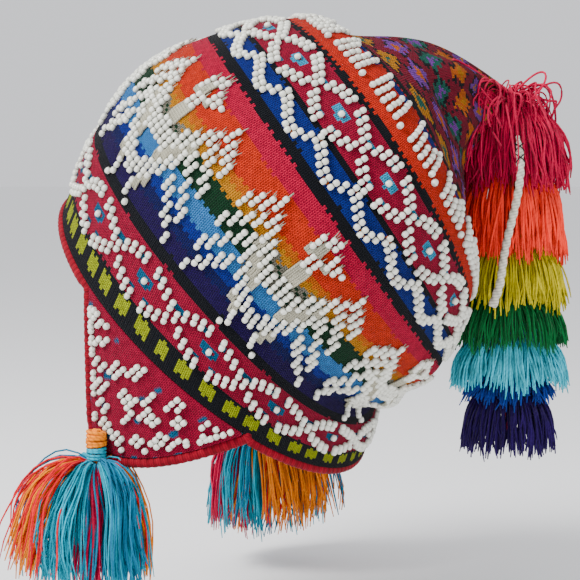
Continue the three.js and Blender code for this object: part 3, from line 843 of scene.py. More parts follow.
@dataclass
class KnitCrown:
    """The knitted bag of the crown, with its bead work.

    Attributes:
        weave: how the pattern lies on the crown.
        stitches: stitches round the crown.
        stitch_height: height of a stitch in millimetres.
        inner_rows: rows of the lining side, which has no stitches of its own.
        shown_column: column of the wale that shows best from the camera.
        beads: seed beads of the crown.
    """

    weave: Weave = Weave()
    stitches: int = 315
    stitch_height: float = 1.45
    inner_rows: int = 30
    shown_column: float = 30.0
    beads: BeadWork = field(default_factory=BeadWork)

    def __post_init__(self) -> None:
        """Measure the wale that shows best, so that rows and beads keep their real size along it."""
        rows = np.linspace(0, self.weave.form.length, 1200)
        line = self.weave.point(np.full_like(rows, self.shown_column), rows)
        self.rows = rows
        self.stitch_width = COLUMNS / self.stitches
        self.travel = travelled(line)

    def rows_down(self, top: float, count: int) -> Array:
        """Rows of the middles of the beads of a run, from its upper end."""
        start = np.interp(top, self.rows, self.travel)
        return np.interp(start - self.beads.pitch * (np.arange(count) + 0.5), self.travel, self.rows)

    def paint(self, column: Array, row: Array) -> Array:
        """Colour of each stitch.

        Args:
            column: pattern column of the stitches.
            row: pattern row of the stitches.

        Returns:
            Linear colours.
        """
        edges = [edge for edge, _ in STRIPES]
        palette = np.array([linear(hue) for _, hue in STRIPES])
        jitter = 0.42 * np.sin(column * 7.3) + 0.3 * np.sin(column * 40.7 + 1.3)
        color = palette[np.searchsorted(edges, row + jitter)].copy()
        self.paint_bands(color, column, row)
        self.paint_birds(color, column, row)
        self.paint_tail(color, column, row)
        return color

    def paint_bands(self, color: Array, column: Array, row: Array) -> None:
        """Repaint the lime blocks, and the specks between the beads of the narrow bands."""
        aside = np.abs(BLOCKS.offset(column))
        tooth = np.floor(column / self.stitch_width) % 2
        cover(color, (aside < 0.78) & (np.abs(row - 8.4 + 0.8 * tooth) < 3.3), Hue.LIME)
        for band, hue in ((LOW_LOZENGES, Hue.TEAL), (HIGH_LOZENGES, Hue.SKY)):
            middle = np.abs(band.offset(column - band.half))
            lift = np.abs(row - band.row)
            heart = (lift < 2.6 - 0.6 * middle / HEART_REACH) & (lift + 2 * middle > 1.0)
            cover(color, (middle < HEART_REACH) & heart, hue)
            between = np.abs(band.offset(column)) < 0.75
            cover(color, between & (np.abs(row - band.row - 3.4) < 1.2), hue, 0.8)
            cover(color, (np.abs(middle - 1.0) < 0.45) & (np.abs(lift - 6.2) < 0.9), hue, 0.8)
        for shift, middle_row, half_width, half_height in WAVE_SPECKS:
            speck = np.abs(WAVES.offset(column - shift)) < half_width
            cover(color, speck & (np.abs(row - middle_row) < half_height), Hue.ORANGE)
        bars = np.abs(COMBS.offset(column)) < 2.4
        cover(color, bars & (row > 195) & (row < 201), Hue.COBALT)

    def paint_birds(self, color: Array, column: Array, row: Array) -> None:
        """Repaint the birds' bodies, where ivory yarn shows between the beads, in the shaded float ivory at
        0.8: painted shade of the gaps.
        """
        flank = np.abs(BIRDS.offset(column)) / BEAD_COLUMN
        body = (flank < 5.4) & (row > 66 + 2.2 * np.maximum(flank - 3.5, 0)) & (row < 94 + 1.5 * (flank - 3))
        window = (flank < 2.4) & (row < 74.5 - 1.2 * flank)
        shows = (np.floor(column / self.stitch_width) + np.floor(row / 1.6)) % 3 != 0
        # Painted shade: the ivory that shows between the beads is darkened again to 0.8.
        cover(color, body & ~window & shows, Hue.SHADED_FLOAT, 0.8)

    def paint_tail(self, color: Array, column: Array, row: Array) -> None:
        """Repaint the tail with rows of two-coloured diamonds in black outlines."""
        first, last = TAIL_ROWS
        width, height = TAIL_CELL
        tier = np.floor((row - first) / height).astype(int)
        aside = (column + width / 2 * (tier % 2)) % width - width / 2
        lift = (row - first) % height - height / 2
        loose = 0.22 * np.sin(column * 31.7 + row * 17.3) + 0.16 * np.sin(column * 12.9 - row * 7.7)
        ring = np.abs(aside) / 3.7 + np.abs(lift) / 6.2 + loose
        hues = np.array([linear(hue, 0.9) for hue in TAIL_FLECKS])
        on_tail = (row > first) & (row < last)
        for reach, step in ((1.0, 0), (0.42, 2)):
            inside = (ring < reach) & on_tail
            color[inside] = hues[(tier[inside] + step) % len(TAIL_FLECKS)]
        cover(color, on_tail & (np.abs(ring - 1.12) < 0.13), Hue.BLACK)

    def bag(self, rows: Array) -> tuple[Array, list[Array]]:
        """Points and faces of the closed bag.

        Args:
            rows: pattern rows of the rings of the outer skin.

        Returns:
            The points, and the faces of the skin, the lining, the rim and the tip.
        """
        form, total, count = self.weave.form, self.stitches, len(rows)
        column = np.arange(total) * COLUMNS / total
        outer = self.weave.point(column[None], rows[:, None])
        lining_rows = np.linspace(form.length - 2 * form.wall, 0, self.inner_rows)
        inner = self.weave.point(column[None], lining_rows[:, None], form.wall)
        centre, _, _, onward = form.frame(np.array([form.length]))
        tips = [centre[0] + onward[0] * ahead for ahead in (form.tip_cap, -form.wall)]
        around = np.arange(total)
        after = (around + 1) % total
        top, below = (count - 1) * total, count * total
        last, pole = top + self.inner_rows * total, below + self.inner_rows * total
        skin = grid_faces(count, total, True)
        lining = grid_faces(self.inner_rows, total, True) + below
        rim = np.stack([after, around, last + around, last + after], -1)
        tip = np.concatenate([np.stack([top + around, top + after, np.full(total, pole)], -1),
                              np.stack([below + after, below + around, np.full(total, pole + 1)], -1)])
        points = np.concatenate([outer.reshape(-1, 3), inner.reshape(-1, 3), tips])
        return points, [skin, lining, rim, tip]

    def stitch_corners(self, rows: Array) -> tuple[Array, Array]:
        """Colours and pattern places of the corners of the outer skin's faces.

        Args:
            rows: pattern rows of the rings of the skin.

        Returns:
            Linear colours and pattern places, one row per corner.
        """
        total = self.stitches
        middle_row = (rows[:-1] + rows[1:]) / 2
        coarse = middle_row > COARSE_ROW
        single = np.arange(total) * COLUMNS / total + COLUMNS / 2 / total
        paired = (np.arange(total) // 2 * 2 + 1) * COLUMNS / total
        column = np.where(coarse[:, None], paired[None], single[None])
        colors = self.paint(column, middle_row[:, None] + 0 * column).reshape(-1, 4)
        scale = np.where(coarse, 0.5, 1.0)[:, None]
        left, right = np.arange(total)[None] * scale, (np.arange(total) + 1)[None] * scale
        low = np.arange(len(rows) - 1)[:, None] + 0 * left
        corners = np.stack([np.stack([left, low], -1), np.stack([right, low], -1),
                            np.stack([right, low + 1], -1), np.stack([left, low + 1], -1)], 2)
        return np.repeat(colors, 4, axis=0), corners.reshape(-1, 2)

    def knit(self, finish: bpy.types.Material) -> None:
        """Make the bag: outer skin of real stitches, lining side, rim and closed tip."""
        count = int(self.travel[-1] / self.stitch_height)
        rows = np.interp(np.linspace(0, self.travel[-1], count), self.travel, self.rows)
        points, faces = self.bag(rows)
        parts = MeshParts()
        parts.add(points, faces, linear(Hue.CRIMSON))
        colors, places = self.stitch_corners(rows)
        rest = sum(part.size for part in faces[1:])
        # Painted shade: the lining, rim and tip take tail crimson darkened to 0.6 of its lightness.
        colors = np.concatenate([colors, np.tile(linear(Hue.TAIL_CRIMSON, 0.6), (rest, 1))])
        places = np.concatenate([places, np.full((rest, 2), 0.25)])
        crown = dress(parts.build("crown_knit", colors, places), finish, Slot.CROWN, "crown")

    def sew(self, runs: list[Run], name: str, seed: int, finish: bpy.types.Material) -> None:
        """Sew beads on as one piece.

        Args:
            runs: column, row of the upper end and number of beads of each run.
            name: the piece's name.
            seed: seed of the small differences between beads.
            finish: the glass.
        """
        columns = np.concatenate([np.full(count, column) for column, _, count in runs])
        rows = np.concatenate([self.rows_down(top, count) for _, top, count in runs])
        middle, out, wale = self.weave.axes(columns, rows)
        parts = MeshParts()
        self.beads.place(parts, middle, wale, out, seed)
        dress(parts.build(name), finish, Slot.BEADS)

    def bird_runs(self) -> list[Run]:
        """Runs of beads of the seven birds."""
        runs = []
        for start in BIRDS.starts():
            for side, top, count in WING_RUNS:
                runs += [(start + way * (side + 0.5) * BEAD_COLUMN, top, count) for way in (-1, 1)]
            runs += [(start + (side - 0.5) * BEAD_COLUMN, top, count) for side, top, count in BODY_RUNS]
        return runs

    def lozenge_runs(self, band: Band) -> list[Run]:
        """Runs of beads of a band of lozenges."""
        width = band.half / 5
        reach = 3.0
        return [(start + step * width, band.row + lift + reach, 2)
                for start in band.starts() for step, lift in LOZENGE_PAIRS]

    def wave_runs(self) -> list[Run]:
        """Runs of beads of the wavy line."""
        width = COLUMNS / WAVES.repeats / len(WAVE_PAIRS)
        return [(start + step * width, WAVES.row + lift + 3.2, 2)
                for start in WAVES.starts() for step, lift in enumerate(WAVE_PAIRS)]

    def comb_runs(self) -> list[Run]:
        """Runs of beads of the stepped bars of the top band."""
        return [(start + (step - 2) * 1.05, COMBS.row + count * 3.6, count)
                for start in COMBS.starts() for step, count in enumerate(COMB_STEPS)]

    def bead_work(self, glass: bpy.types.Material) -> None:
        """Sew on all the beads of the crown."""
        self.sew(self.bird_runs(), "bird_beads", 11, glass)
        self.sew(self.lozenge_runs(LOW_LOZENGES), "low_lozenge_beads", 12, glass)
        self.sew(self.lozenge_runs(HIGH_LOZENGES), "high_lozenge_beads", 13, glass)
        self.sew(self.wave_runs(), "wave_beads", 14, glass)
        self.sew(self.comb_runs(), "comb_beads", 15, glass)
        runs = [(start + band.half, band.row + 1.5, 1)
                for band in (LOW_LOZENGES, HIGH_LOZENGES) for start in band.starts()]
        self.sew(runs, "lozenge_centre_beads", 16, glass)

    def floats(self, finish: bpy.types.Material) -> None:
        """Lay the ivory yarn that floats between the runs, and the tufts at their upper ends."""
        rng = np.random.default_rng(21)
        lines = []
        for start in BIRDS.starts():
            for side, top, low in WING_FLOATS:
                lines += [(start + way * (side + 0.5) * BEAD_COLUMN, top, low) for way in (-1, 1)]
            lines += [(start + (side - 0.5) * BEAD_COLUMN, top, low) for side, top, low in HEAD_FLOATS]
        steps = 6
        routes, radii = [], []
        for column, top, low in lines:
            for ply in (-0.27, -0.09, 0.09, 0.27):
                rows = np.linspace(low - 1.0, top + 1.0, steps)
                columns = np.full(steps, column + ply) + rng.normal(0, 0.03, steps)
                middle, out, _ = self.weave.axes(columns, rows)
                routes.append(middle + out * (0.5 + 0.5 * np.sin(np.linspace(0, math.pi, steps)))[:, None])
                radii.append(np.full(steps, 0.75))
        for column, top, count in self.bird_runs():
            if count < 2 or top < 97:
                continue
            for _ in range(3):
                spread = rng.normal(0, 0.13)
                rows = top + np.linspace(-1.5, 1, steps) * rng.uniform(1.5, 4.0)
                middle, out, _ = self.weave.axes(column + spread * np.linspace(0.4, 1.4, steps), rows)
                routes.append(middle + out * np.linspace(0.7, rng.uniform(0.6, 2.2), steps)[:, None])
                radii.append(np.linspace(0.42, 0.12, steps))
        parts = MeshParts()
        # Painted shade: the floats take ivory darkened for the gaps between the beads, with a random tone.
        tones = tinted(Hue.SHADED_FLOAT, rng.uniform(0.9, 1.15, (len(routes), 1)))
        parts.strands(np.array(routes), np.array(radii), tones)
        dress(parts.build("ivory_floats"), finish, Slot.IVORY)


# Bead runs of the ear flap: along the rim from its front corner, away from the rim, beads
FLAP_RUNS = (
    (11.3, 5.5, 2), (14.5, 5.0, 4), (18.5, 6.0, 2), (22.2, 5.0, 1), (4.8, 10.5, 2), (9.2, 18.2, 2),
    (26.6, 10.0, 2), (22.4, 13.4, 2), (17.2, 18.4, 2), (15.6, 27.0, 1), (18.0, 27.8, 1), (24.0, 34.5, 1),
    (26.2, 36.2, 1), (30.6, 38.8, 1), (32.8, 40.6, 1), (47.6, 7.2, 3), (51.4, 5.6, 3), (38.6, 14.0, 3),
    (42.8, 13.6, 3), (33.6, 20.6, 2), (28.4, 21.6, 2), (40.2, 26.6, 3), (35.6, 28.4, 3), (42.6, 35.2, 2),
    (47.4, 35.0, 2), (49.8, 41.2, 2), (53.4, 41.2, 2), (56.6, 42.8, 1), (59.8, 40.6, 2), (63.6, 40.6, 2),
    (62.5, 11.6, 3), (57.4, 19.8, 3), (65.2, 18.6, 3), (60.0, 26.4, 3), (50.0, 21.2, 2), (53.8, 21.6, 2),
    (68.6, 19.6, 2), (71.8, 19.2, 2), (72.2, 5.4, 3), (75.6, 5.6, 2), (78.2, 11.6, 2), (81.2, 11.6, 2),
    (77.4, 23.8, 3), (80.4, 22.8, 3), (85.0, 19.6, 2), (88.2, 17.8, 1), (69.0, 33.6, 2), (72.6, 32.8, 2),
    (88.8, 5.0, 2), (91.6, 11.0, 1), (93.6, 5.2, 1), (94.2, 12.2, 2), (97.2, 5.6, 2), (100.6, 5.2, 1),
    (98.0, 13.8, 1), (92.2, 22.2, 1), (87.4, 28.8, 1), (79.0, 37.6, 1), (67.6, 45.6, 1), (38.6, 49.2, 1),
    (41.0, 49.6, 1),
)
# Teal stitches of the ear flap: along the rim, away from it, half width, half height
FLAP_TEAL = (
    (7.0, 6.5, 1.6, 2.0), (9.5, 12.5, 1.6, 2.4), (14.0, 24.4, 2.0, 2.4), (16.0, 33.0, 1.6, 2.4),
    (21.0, 34.5, 2.0, 3.4), (28.0, 38.8, 1.6, 2.4), (37.4, 23.4, 2.2, 2.8), (45.0, 36.8, 1.2, 2.2),
    (55.4, 47.6, 1.6, 3.0), (62.5, 8.2, 1.4, 1.6), (59.0, 17.4, 1.2, 1.6), (64.0, 27.4, 1.6, 1.4),
    (81.4, 19.0, 1.8, 2.2), (89.4, 25.4, 1.2, 2.2), (89.0, 31.0, 1.4, 1.4), (83.0, 35.0, 1.4, 2.0),
    (74.0, 43.2, 1.4, 2.0), (69.6, 48.0, 1.4, 1.4), (34.2, 44.6, 1.4, 3.2), (31.0, 50.6, 1.6, 3.0),
    (24.0, 44.4, 2.0, 2.8), (31.0, 6.0, 1.2, 1.4), (103.0, 4.0, 1.4, 1.6), (95.4, 17.6, 1.4, 1.4),
    (86.2, 5.0, 1.0, 2.0), (54.0, 51.0, 1.0, 1.6),
)


@dataclass
class EarFlap:
    """One ear flap: a knitted leaf that hangs from the rim, with its teal stitches and its beads.

    Attributes:
        side: left or right.
        mirror: 1 for the left flap and -1 for the right one.
        form: surface of the left flap.
        columns: faces along the foot.
        rows: faces from the rim to the foot.
        stitch: width and height of a stitch in millimetres.
        beads: seed beads of the flap.
    """

    side: str
    mirror: int
    form: FlapForm = FlapForm()
    columns: int = 110
    rows: int = 62
    stitch: tuple[float, float] = (1.86, 1.45)
    beads: BeadWork = field(default_factory=BeadWork)

    def knit(self, finish: bpy.types.Material) -> None:
        """Make the leaf as one closed cloth of the real thickness."""
        form = self.form
        foot = form.foot(self.columns + 1)
        share = np.linspace(0, 1, self.columns + 1)
        top_y = form.front_top + (form.back_top - form.front_top) * share
        faces_of = []
        for inset in (0.0, form.wall):
            shifted = form.point(top_y, foot[:, 1], inset)[:, 1]
            top_z = form.rim_height(shifted) - form.gap / math.cos(form.tilt)
            t = np.linspace(0, 1, self.rows + 1)[None]
            y = top_y[:, None] + (foot[:, 0] - top_y)[:, None] * t
            z = top_z[:, None] + (foot[:, 1] - top_z)[:, None] * t
            faces_of.append((y, z, form.point(y, z, inset)))
        outer, inner = faces_of[0][2], faces_of[1][2]
        columns, rows = outer.shape[:2]
        number = columns * rows
        skin = grid_faces(columns, rows, False)
        lining = skin[:, ::-1] + number
        index = np.arange(number).reshape(columns, rows)
        loop = np.concatenate([index[:-1, 0], index[-1, :-1], index[:0:-1, -1], index[0, :0:-1]])
        after = np.roll(loop, -1)
        edge = np.stack([after, loop, loop + number, after + number], -1)[:, ::-1]
        points = np.concatenate([outer.reshape(-1, 3), inner.reshape(-1, 3)]) * [self.mirror, 1, 1]
        faces = [skin, lining, edge]
        if self.mirror < 0:
            faces = [part[:, ::-1] for part in faces]
        y, z = faces_of[0][:2]
        ahead, drop = y - form.front_top, form.rim_height(form.front_top) - z
        a = ahead * math.cos(form.tilt) + drop * math.sin(form.tilt)
        b = -ahead * math.sin(form.tilt) + drop * math.cos(form.tilt)
        color = np.tile(linear(Hue.CRIMSON), (2 * number, 1))
        for place, away, wide, high in FLAP_TEAL:
            near = (np.abs(a - place + 0.3 * (b - away)) / wide) ** 2 + (np.abs(b - away) / high) ** 2 < 1.1
            color[:number][near.ravel()] = linear(Hue.TEAL)
        uv = np.stack([a / self.stitch[0], -b / self.stitch[1]], -1).reshape(-1, 2)
        parts = MeshParts()
        parts.add(points, faces, color, np.concatenate([uv, uv]))
        flap = dress(parts.build(f"ear_flap_{self.side}_knit"), finish, Slot.FLAP, f"ear_flap_{self.side}")

    def keep_in(self, a: Array, b: Array, margin: float = 3.6) -> tuple[Array, Array]:
        """Move places that are too near the flap's edge a little way in.

        Args:
            a: distances along the rim.
            b: distances away from it.
            margin: least distance from the edge.

        Returns:
            The distances after that.
        """
        form = self.form
        y, z = form.across(a, b)
        y = np.maximum(y, form.front_top + margin - 1.2)
        foot = form.foot(200)
        z = np.maximum(z, np.interp(y, foot[:, 0], foot[:, 1]) + margin)
        ahead, drop = y - form.front_top, form.rim_height(form.front_top) - z
        return (ahead * math.cos(form.tilt) + drop * math.sin(form.tilt),
                drop * math.cos(form.tilt) - ahead * math.sin(form.tilt))

    def bead_work(self, glass: bpy.types.Material) -> None:
        """Sew on the flap's beads."""
        place, away = [], []
        for a, b, count in FLAP_RUNS:
            for step in range(count):
                place.append(a - 0.25 * step * self.beads.pitch * 0.6)
                away.append(b + step * self.beads.pitch)
        a, b = self.keep_in(np.array(place), np.array(away))
        middle = self.form.point(*self.form.across(a, b))
        nearer = self.form.point(*self.form.across(a + 0.15, b - 0.8))
        further = self.form.point(*self.form.across(a - 0.15, b + 0.8))
        beside = self.form.point(*self.form.across(a + 1, b)) - self.form.point(*self.form.across(a - 1, b))
        wale = unit(nearer - further)
        out = unit(np.cross(beside, wale))
        out *= np.sign(out[:, :1])
        flip = np.array([self.mirror, 1, 1])
        parts = MeshParts()
        wound = 1 if self.mirror > 0 else -1
        self.beads.place(parts, middle * flip, wale * flip * wound, out * flip, 31)
        dress(parts.build(f"ear_flap_{self.side}_beads"), glass, Slot.BEADS)


# Edge binding and wraps


@dataclass
class EdgeBinding:
    """Red crochet edge that runs round the rim and both flaps without a break.

    Attributes:
        crown: form of the crown.
        flap: form of the left flap.
        width: width of the band over the edge.
        thickness: its thickness.
        inset: depth of its middle line under the outer faces.
        offset: distance of its middle line from the edge.
        stitch: length of one crochet stitch.
        step: distance between rings of its mesh.
        sides: sides of a ring.
    """

    crown: CrownForm = CrownForm()
    flap: FlapForm = FlapForm()
    width: float = 5.0
    thickness: float = 4.6
    inset: float = 1.5
    offset: float = 2.3
    stitch: float = 3.6
    step: float = 0.72
    sides: int = 12

    def rim(self, first: float, last: float) -> Array:
        """Middle line of the band along the rim between two angles in degrees."""
        around = np.radians(np.linspace(first, last, max(int(abs(last - first) / 3), 2)))
        along = np.zeros_like(around)
        onward = self.crown.frame(np.zeros(1))[3]
        return self.crown.plain(around, along, self.inset) - onward * self.offset

    def flap_edge(self) -> Array:
        """Middle line of the band along the left flap."""
        form = self.flap
        foot = form.foot(13)
        top = np.array([form.front_top, form.rim_height(form.front_top) - form.gap / math.cos(form.tilt)])
        front = top + (foot[0] - top) * np.linspace(0, 1, 7)[:-1, None]
        end = np.array([[form.back_top, form.rim_height(form.back_top) - form.gap / math.cos(form.tilt)]])
        line = np.concatenate([front, foot, end])
        ahead = unit(np.diff(line, axis=0))
        before = np.concatenate([ahead[:1], ahead])
        after = np.concatenate([ahead, ahead[-1:]])
        side_before = np.stack([before[:, 1], -before[:, 0]], -1)
        side_after = np.stack([after[:, 1], -after[:, 0]], -1)
        mitre = unit(side_before + side_after)
        mitre /= np.maximum(np.sum(mitre * side_before, -1, keepdims=True), 0.5)
        line = line + mitre * self.offset
        return form.point(line[:, 0], line[:, 1], self.inset)

    def angle_at(self, y: float) -> float:
        """Angle round the rim, in degrees, at which it passes a y."""
        depth = self.flap.rim_reach * math.cos(self.flap.tilt)
        return math.degrees(math.acos((self.flap.rim_y - y) / depth))

    def route(self) -> Array:
        """Closed middle line round the whole edge, evenly spaced."""
        front = self.rim(0, self.angle_at(self.flap.front_top - self.offset) - 2)
        back = self.rim(self.angle_at(self.flap.back_top + self.offset) + 2, 180)
        half = np.concatenate([front, self.flap_edge(), back])
        other = half[::-1][1:-1] * [-1, 1, 1]
        loop = np.concatenate([half, other, half[:1]])
        length = np.linalg.norm(np.diff(loop, axis=0), axis=1).sum()
        even = resample(loop, int(length / self.step) + 1)[:-1]
        for _ in range(4):
            even = even * 0.5 + (np.roll(even, 1, 0) + np.roll(even, -1, 0)) * 0.25
        return even

    def make(self, finish: bpy.types.Material) -> None:
        """Make the band, with the slanting ridges of its stitches and painted shade in the troughs between
        them.
        """
        rng = np.random.default_rng(41)
        route = self.route()
        number = len(route)
        along = unit(np.roll(route, -1, 0) - np.roll(route, 1, 0))
        outward = unit((route - [0, self.flap.rim_y, 0]) * [1, 1, 0])
        across = unit(np.cross(along, outward))
        out = np.cross(across, along)
        travel = np.arange(number) * self.step
        count = round(travel[-1] / self.stitch)
        turn = travel / (travel[-1] + self.step) * count
        angle = TAU * np.arange(self.sides) / self.sides
        phase = turn[:, None] + 0.5 * np.abs(np.sin(angle[None] / 2 + 0.4))
        ridge = np.abs(np.sin(np.pi * phase)) ** 0.7
        uneven = rng.normal(0, 0.05, (number, self.sides))
        swell = 1 + 0.16 * (ridge - 0.72) + 0.35 * uneven
        ring = (np.cos(angle)[None, :, None] * across[:, None] * self.width / 2
                + np.sin(angle)[None, :, None] * out[:, None] * self.thickness / 2)
        points = route[:, None] + ring * swell[..., None]
        row, side = np.meshgrid(np.arange(number), np.arange(self.sides), indexing="ij")
        next_row, next_side = (row + 1) % number, (side + 1) % self.sides
        corner = [row * self.sides + side, next_row * self.sides + side,
                  next_row * self.sides + next_side, row * self.sides + next_side]
        faces = np.stack(corner, -1).reshape(-1, 4)
        # Painted shade: the colour darkens in the troughs between the stitch ridges, with a random unevenness
        # of tone.
        shade = 0.55 + 0.55 * ridge + uneven
        color = tinted(Hue.BINDING, shade)
        uv = np.stack(np.broadcast_arrays((np.arange(self.sides) / self.sides)[None], travel[:, None]), -1)
        parts = MeshParts()
        parts.add(points.reshape(-1, 3), [faces], color, uv.reshape(-1, 2))
        dress(parts.build("crochet_edge"), finish, Slot.BINDING, "edge_binding")


WRAP_ROWS = (
    # colour, hue, slot, top, height, radius, turns
    ("orange", Hue.FLAP_ORANGE, Slot.ORANGE, -186.5, 7.6, 5.2, 5),
    ("turquoise", Hue.FLAP_TURQUOISE, Slot.TURQUOISE, -194.5, 5.8, 4.9, 4),
)


@dataclass
class YarnWrap:
    """Turns of yarn wound tightly round the neck of a flap tassel.

    Attributes:
        name: the piece's name.
        hue: colour of the yarn.
        slot: its slot in the record.
        node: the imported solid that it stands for.
        top: height of its upper end.
        height: height of all its turns.
        radius: outer radius.
        turns: number of turns.
    """

    name: str
    hue: Hue
    slot: Slot
    node: str
    top: float
    height: float
    radius: float
    turns: int
    neck: tuple[float, float] = (82.2, -22.0)

    def make(self, finish: bpy.types.Material, mirror: int) -> None:
        """Wind the turns one under another and join them.

        Args:
            finish: the yarn.
            mirror: 1 on the left and -1 on the right.
        """
        rng = np.random.default_rng(len(self.name))
        bpy.ops.object.select_all(action="DESELECT")
        thick = self.height / self.turns / 2 * 1.12
        windings = []
        for turn in range(self.turns):
            height = self.top - (turn + 0.5) * self.height / self.turns
            radius = self.radius - thick + rng.uniform(-0.2, 0.1)
            bpy.ops.mesh.primitive_torus_add(
                location=(mirror * self.neck[0] * MM, self.neck[1] * MM, height * MM),
                rotation=(rng.normal(0.05, 0.05), rng.normal(0, 0.06), rng.uniform(0, TAU)),
                major_radius=radius * MM, minor_radius=thick * MM, major_segments=40, minor_segments=10)
            winding = bpy.context.object
            layer = winding.data.uv_layers[0]
            layer.name = "Pattern"
            places = np.zeros(len(layer.data) * 2)
            layer.data.foreach_get("uv", places)
            places = places.reshape(-1, 2)[:, ::-1] * [1.0, TAU * radius]
            layer.data.foreach_set("uv", places.ravel())
            tone = np.tile(linear(self.hue, rng.uniform(0.85, 1.1)), (len(winding.data.vertices), 1))
            dye = winding.data.color_attributes.new("Yarn", "FLOAT_COLOR", "POINT")
            dye.data.foreach_set("color", tone.ravel())
            windings.append(winding)
        for winding in windings:
            winding.select_set(True)
        bpy.context.view_layer.objects.active = windings[0]
        bpy.ops.object.join()
        bpy.ops.object.transform_apply(location=True, rotation=True, scale=True)
        bpy.ops.object.shade_smooth()
        piece = bpy.context.object
        piece.name = self.name
        dress(piece, finish, self.slot, self.node)
        bpy.ops.object.select_all(action="DESELECT")


# Tassels


ACROSS = np.array([-0.46947, 0.88295, 0.0])
TOWARDS = np.array([0.88295, 0.46947, 0.0])


def waver(rng: np.random.Generator, number: int, steps: int, size: float) -> Array:
    """Gentle sideways bends of loose strands.

    Args:
        rng: source of chance.
        number: number of strands.
        steps: points of a strand.
        size: rough size of the bends.

    Returns:
        Offsets that start at nothing at each strand's root.
    """
    share = np.linspace(0, 1, steps)[None, :, None]
    phase = rng.uniform(0, TAU, (number, 1, 3))
    pace = rng.uniform(0.6, 1.7, (number, 1, 3)) * TAU
    return size * share * (np.sin(pace * share + phase) - np.sin(phase)) * rng.uniform(0.3, 1, (number, 1, 3))


@dataclass
class FlapTassel:
    """Loose tassel under an ear flap: cut strands in four colours that spring out and droop.

    Attributes:
        side: left or right.
        mirror: 1 on the left and -1 on the right.
        swing: way in which the strands reach furthest.
    """

    side: str
    mirror: int
    swing: tuple[float, float, float]
    strands: int = 740
    locks: int = 96
    steps: int = 10
    neck: tuple[float, float, float] = (82.2, -22.0, -202.0)
    length: float = 64.0
    reach: float = 37.0
    reach_swing: float = 10.0

    def hue_of(self, share: float, rng: np.random.Generator) -> Hue:
        """Colour of a strand by where it falls, from 1 at the viewer's left to -1 at the right."""
        share += rng.normal(0, 0.07)
        if rng.random() < 0.16:
            return [Hue.FLAP_RED, Hue.FLAP_ORANGE, Hue.FLAP_TURQUOISE, Hue.FLAP_DEEP_TEAL][rng.integers(4)]
        if share > 0.80:
            return Hue.FLAP_RED
        if share > 0.60:
            return Hue.FLAP_ORANGE
        if share > 0.48:
            return Hue.FLAP_RED
        if share > 0.12:
            return Hue.FLAP_TURQUOISE
        if share > -0.14:
            return Hue.MOP
        if share > -0.45:
            return [Hue.FLAP_TURQUOISE, Hue.FLAP_DEEP_TEAL][rng.integers(2)]
        return Hue.FLAP_ORANGE

    def make(self, finish: bpy.types.Material) -> None:
        """Make the tassel as one piece of separate strands."""
        rng = np.random.default_rng(51 if self.mirror > 0 else 52)
        number, steps = self.strands, self.steps
        lock = rng.integers(0, self.locks, number)
        angle = rng.uniform(0, TAU, self.locks)[lock] + rng.normal(0, 0.11, number)
        ahead = np.stack([np.cos(angle), np.sin(angle), 0 * angle], -1)
        limit = self.reach + self.reach_swing * (ahead @ np.array(self.swing))
        part = rng.uniform(0.05, 1.0, self.locks)[lock] ** 0.55 + rng.normal(0, 0.045, number)
        part = np.clip(part, 0.03, 1.05)
        reach = limit * part
        t = np.linspace(0, 1, steps)[None]
        length = self.length * rng.uniform(0.86, 1.04, number)
        drop = np.sqrt(np.maximum(length ** 2 - reach ** 2, 100)) * 0.97
        out = reach[:, None] * (1 - (1 - t) ** 1.9)
        lift = (rng.uniform(8, 15, number) * part ** 3)[:, None] * 4 * t * (1 - t) ** 1.6
        fall = -drop[:, None] * t ** 1.45 + lift
        root = ahead * (rng.uniform(0, 2.6, number))[:, None] + np.array(self.neck)
        routes = root[:, None] + ahead[:, None] * out[..., None] + fall[..., None] * [0, 0, 1.0]
        routes = routes + waver(rng, self.locks, steps, 3.0)[lock] + waver(rng, number, steps, 1.0)
        shares = -(ahead @ ACROSS) * reach / (self.reach + self.reach_swing)
        own = [shares[lock == one] for one in range(self.locks)]
        hues = [self.hue_of(share.mean() if share.size else 0, rng) for share in own]
        colors = np.array([linear(hues[one], rng.uniform(0.8, 1.12)) for one in lock])
        radii = rng.uniform(0.4, 0.56, (number, 1)) * np.concatenate([np.ones(steps - 1), [0.55]])[None]
        head = self.head(rng)
        routes = routes * [self.mirror, 1, 1]
        parts = MeshParts()
        parts.strands(routes, radii, colors)
        parts.strands(head * [self.mirror, 1, 1], np.full(head.shape[:2], 0.62), linear(Hue.FLAP_ORANGE), 4)
        dress(parts.build(f"loose_tassel_{self.side}"), finish, Slot.MIXED, f"flap_tassel_{self.side}")

    def head(self, rng: np.random.Generator) -> Array:
        """Strands that run inside the wraps, up to the flap's corner."""
        number = 34
        angle = rng.uniform(0, TAU, number)
        spread = rng.uniform(0.2, 2.2, number)
        ring = np.stack([np.cos(angle) * spread, np.sin(angle) * spread, 0 * angle], -1)
        top = np.array([self.neck[0], self.neck[1], -185.6])
        ends = np.array(self.neck) - [0, 0, 4.0]
        t = np.linspace(0, 1, 6)[None, :, None]
        return (top + ring)[:, None] * (1 - t) + (ends + ring * 1.2)[:, None] * t


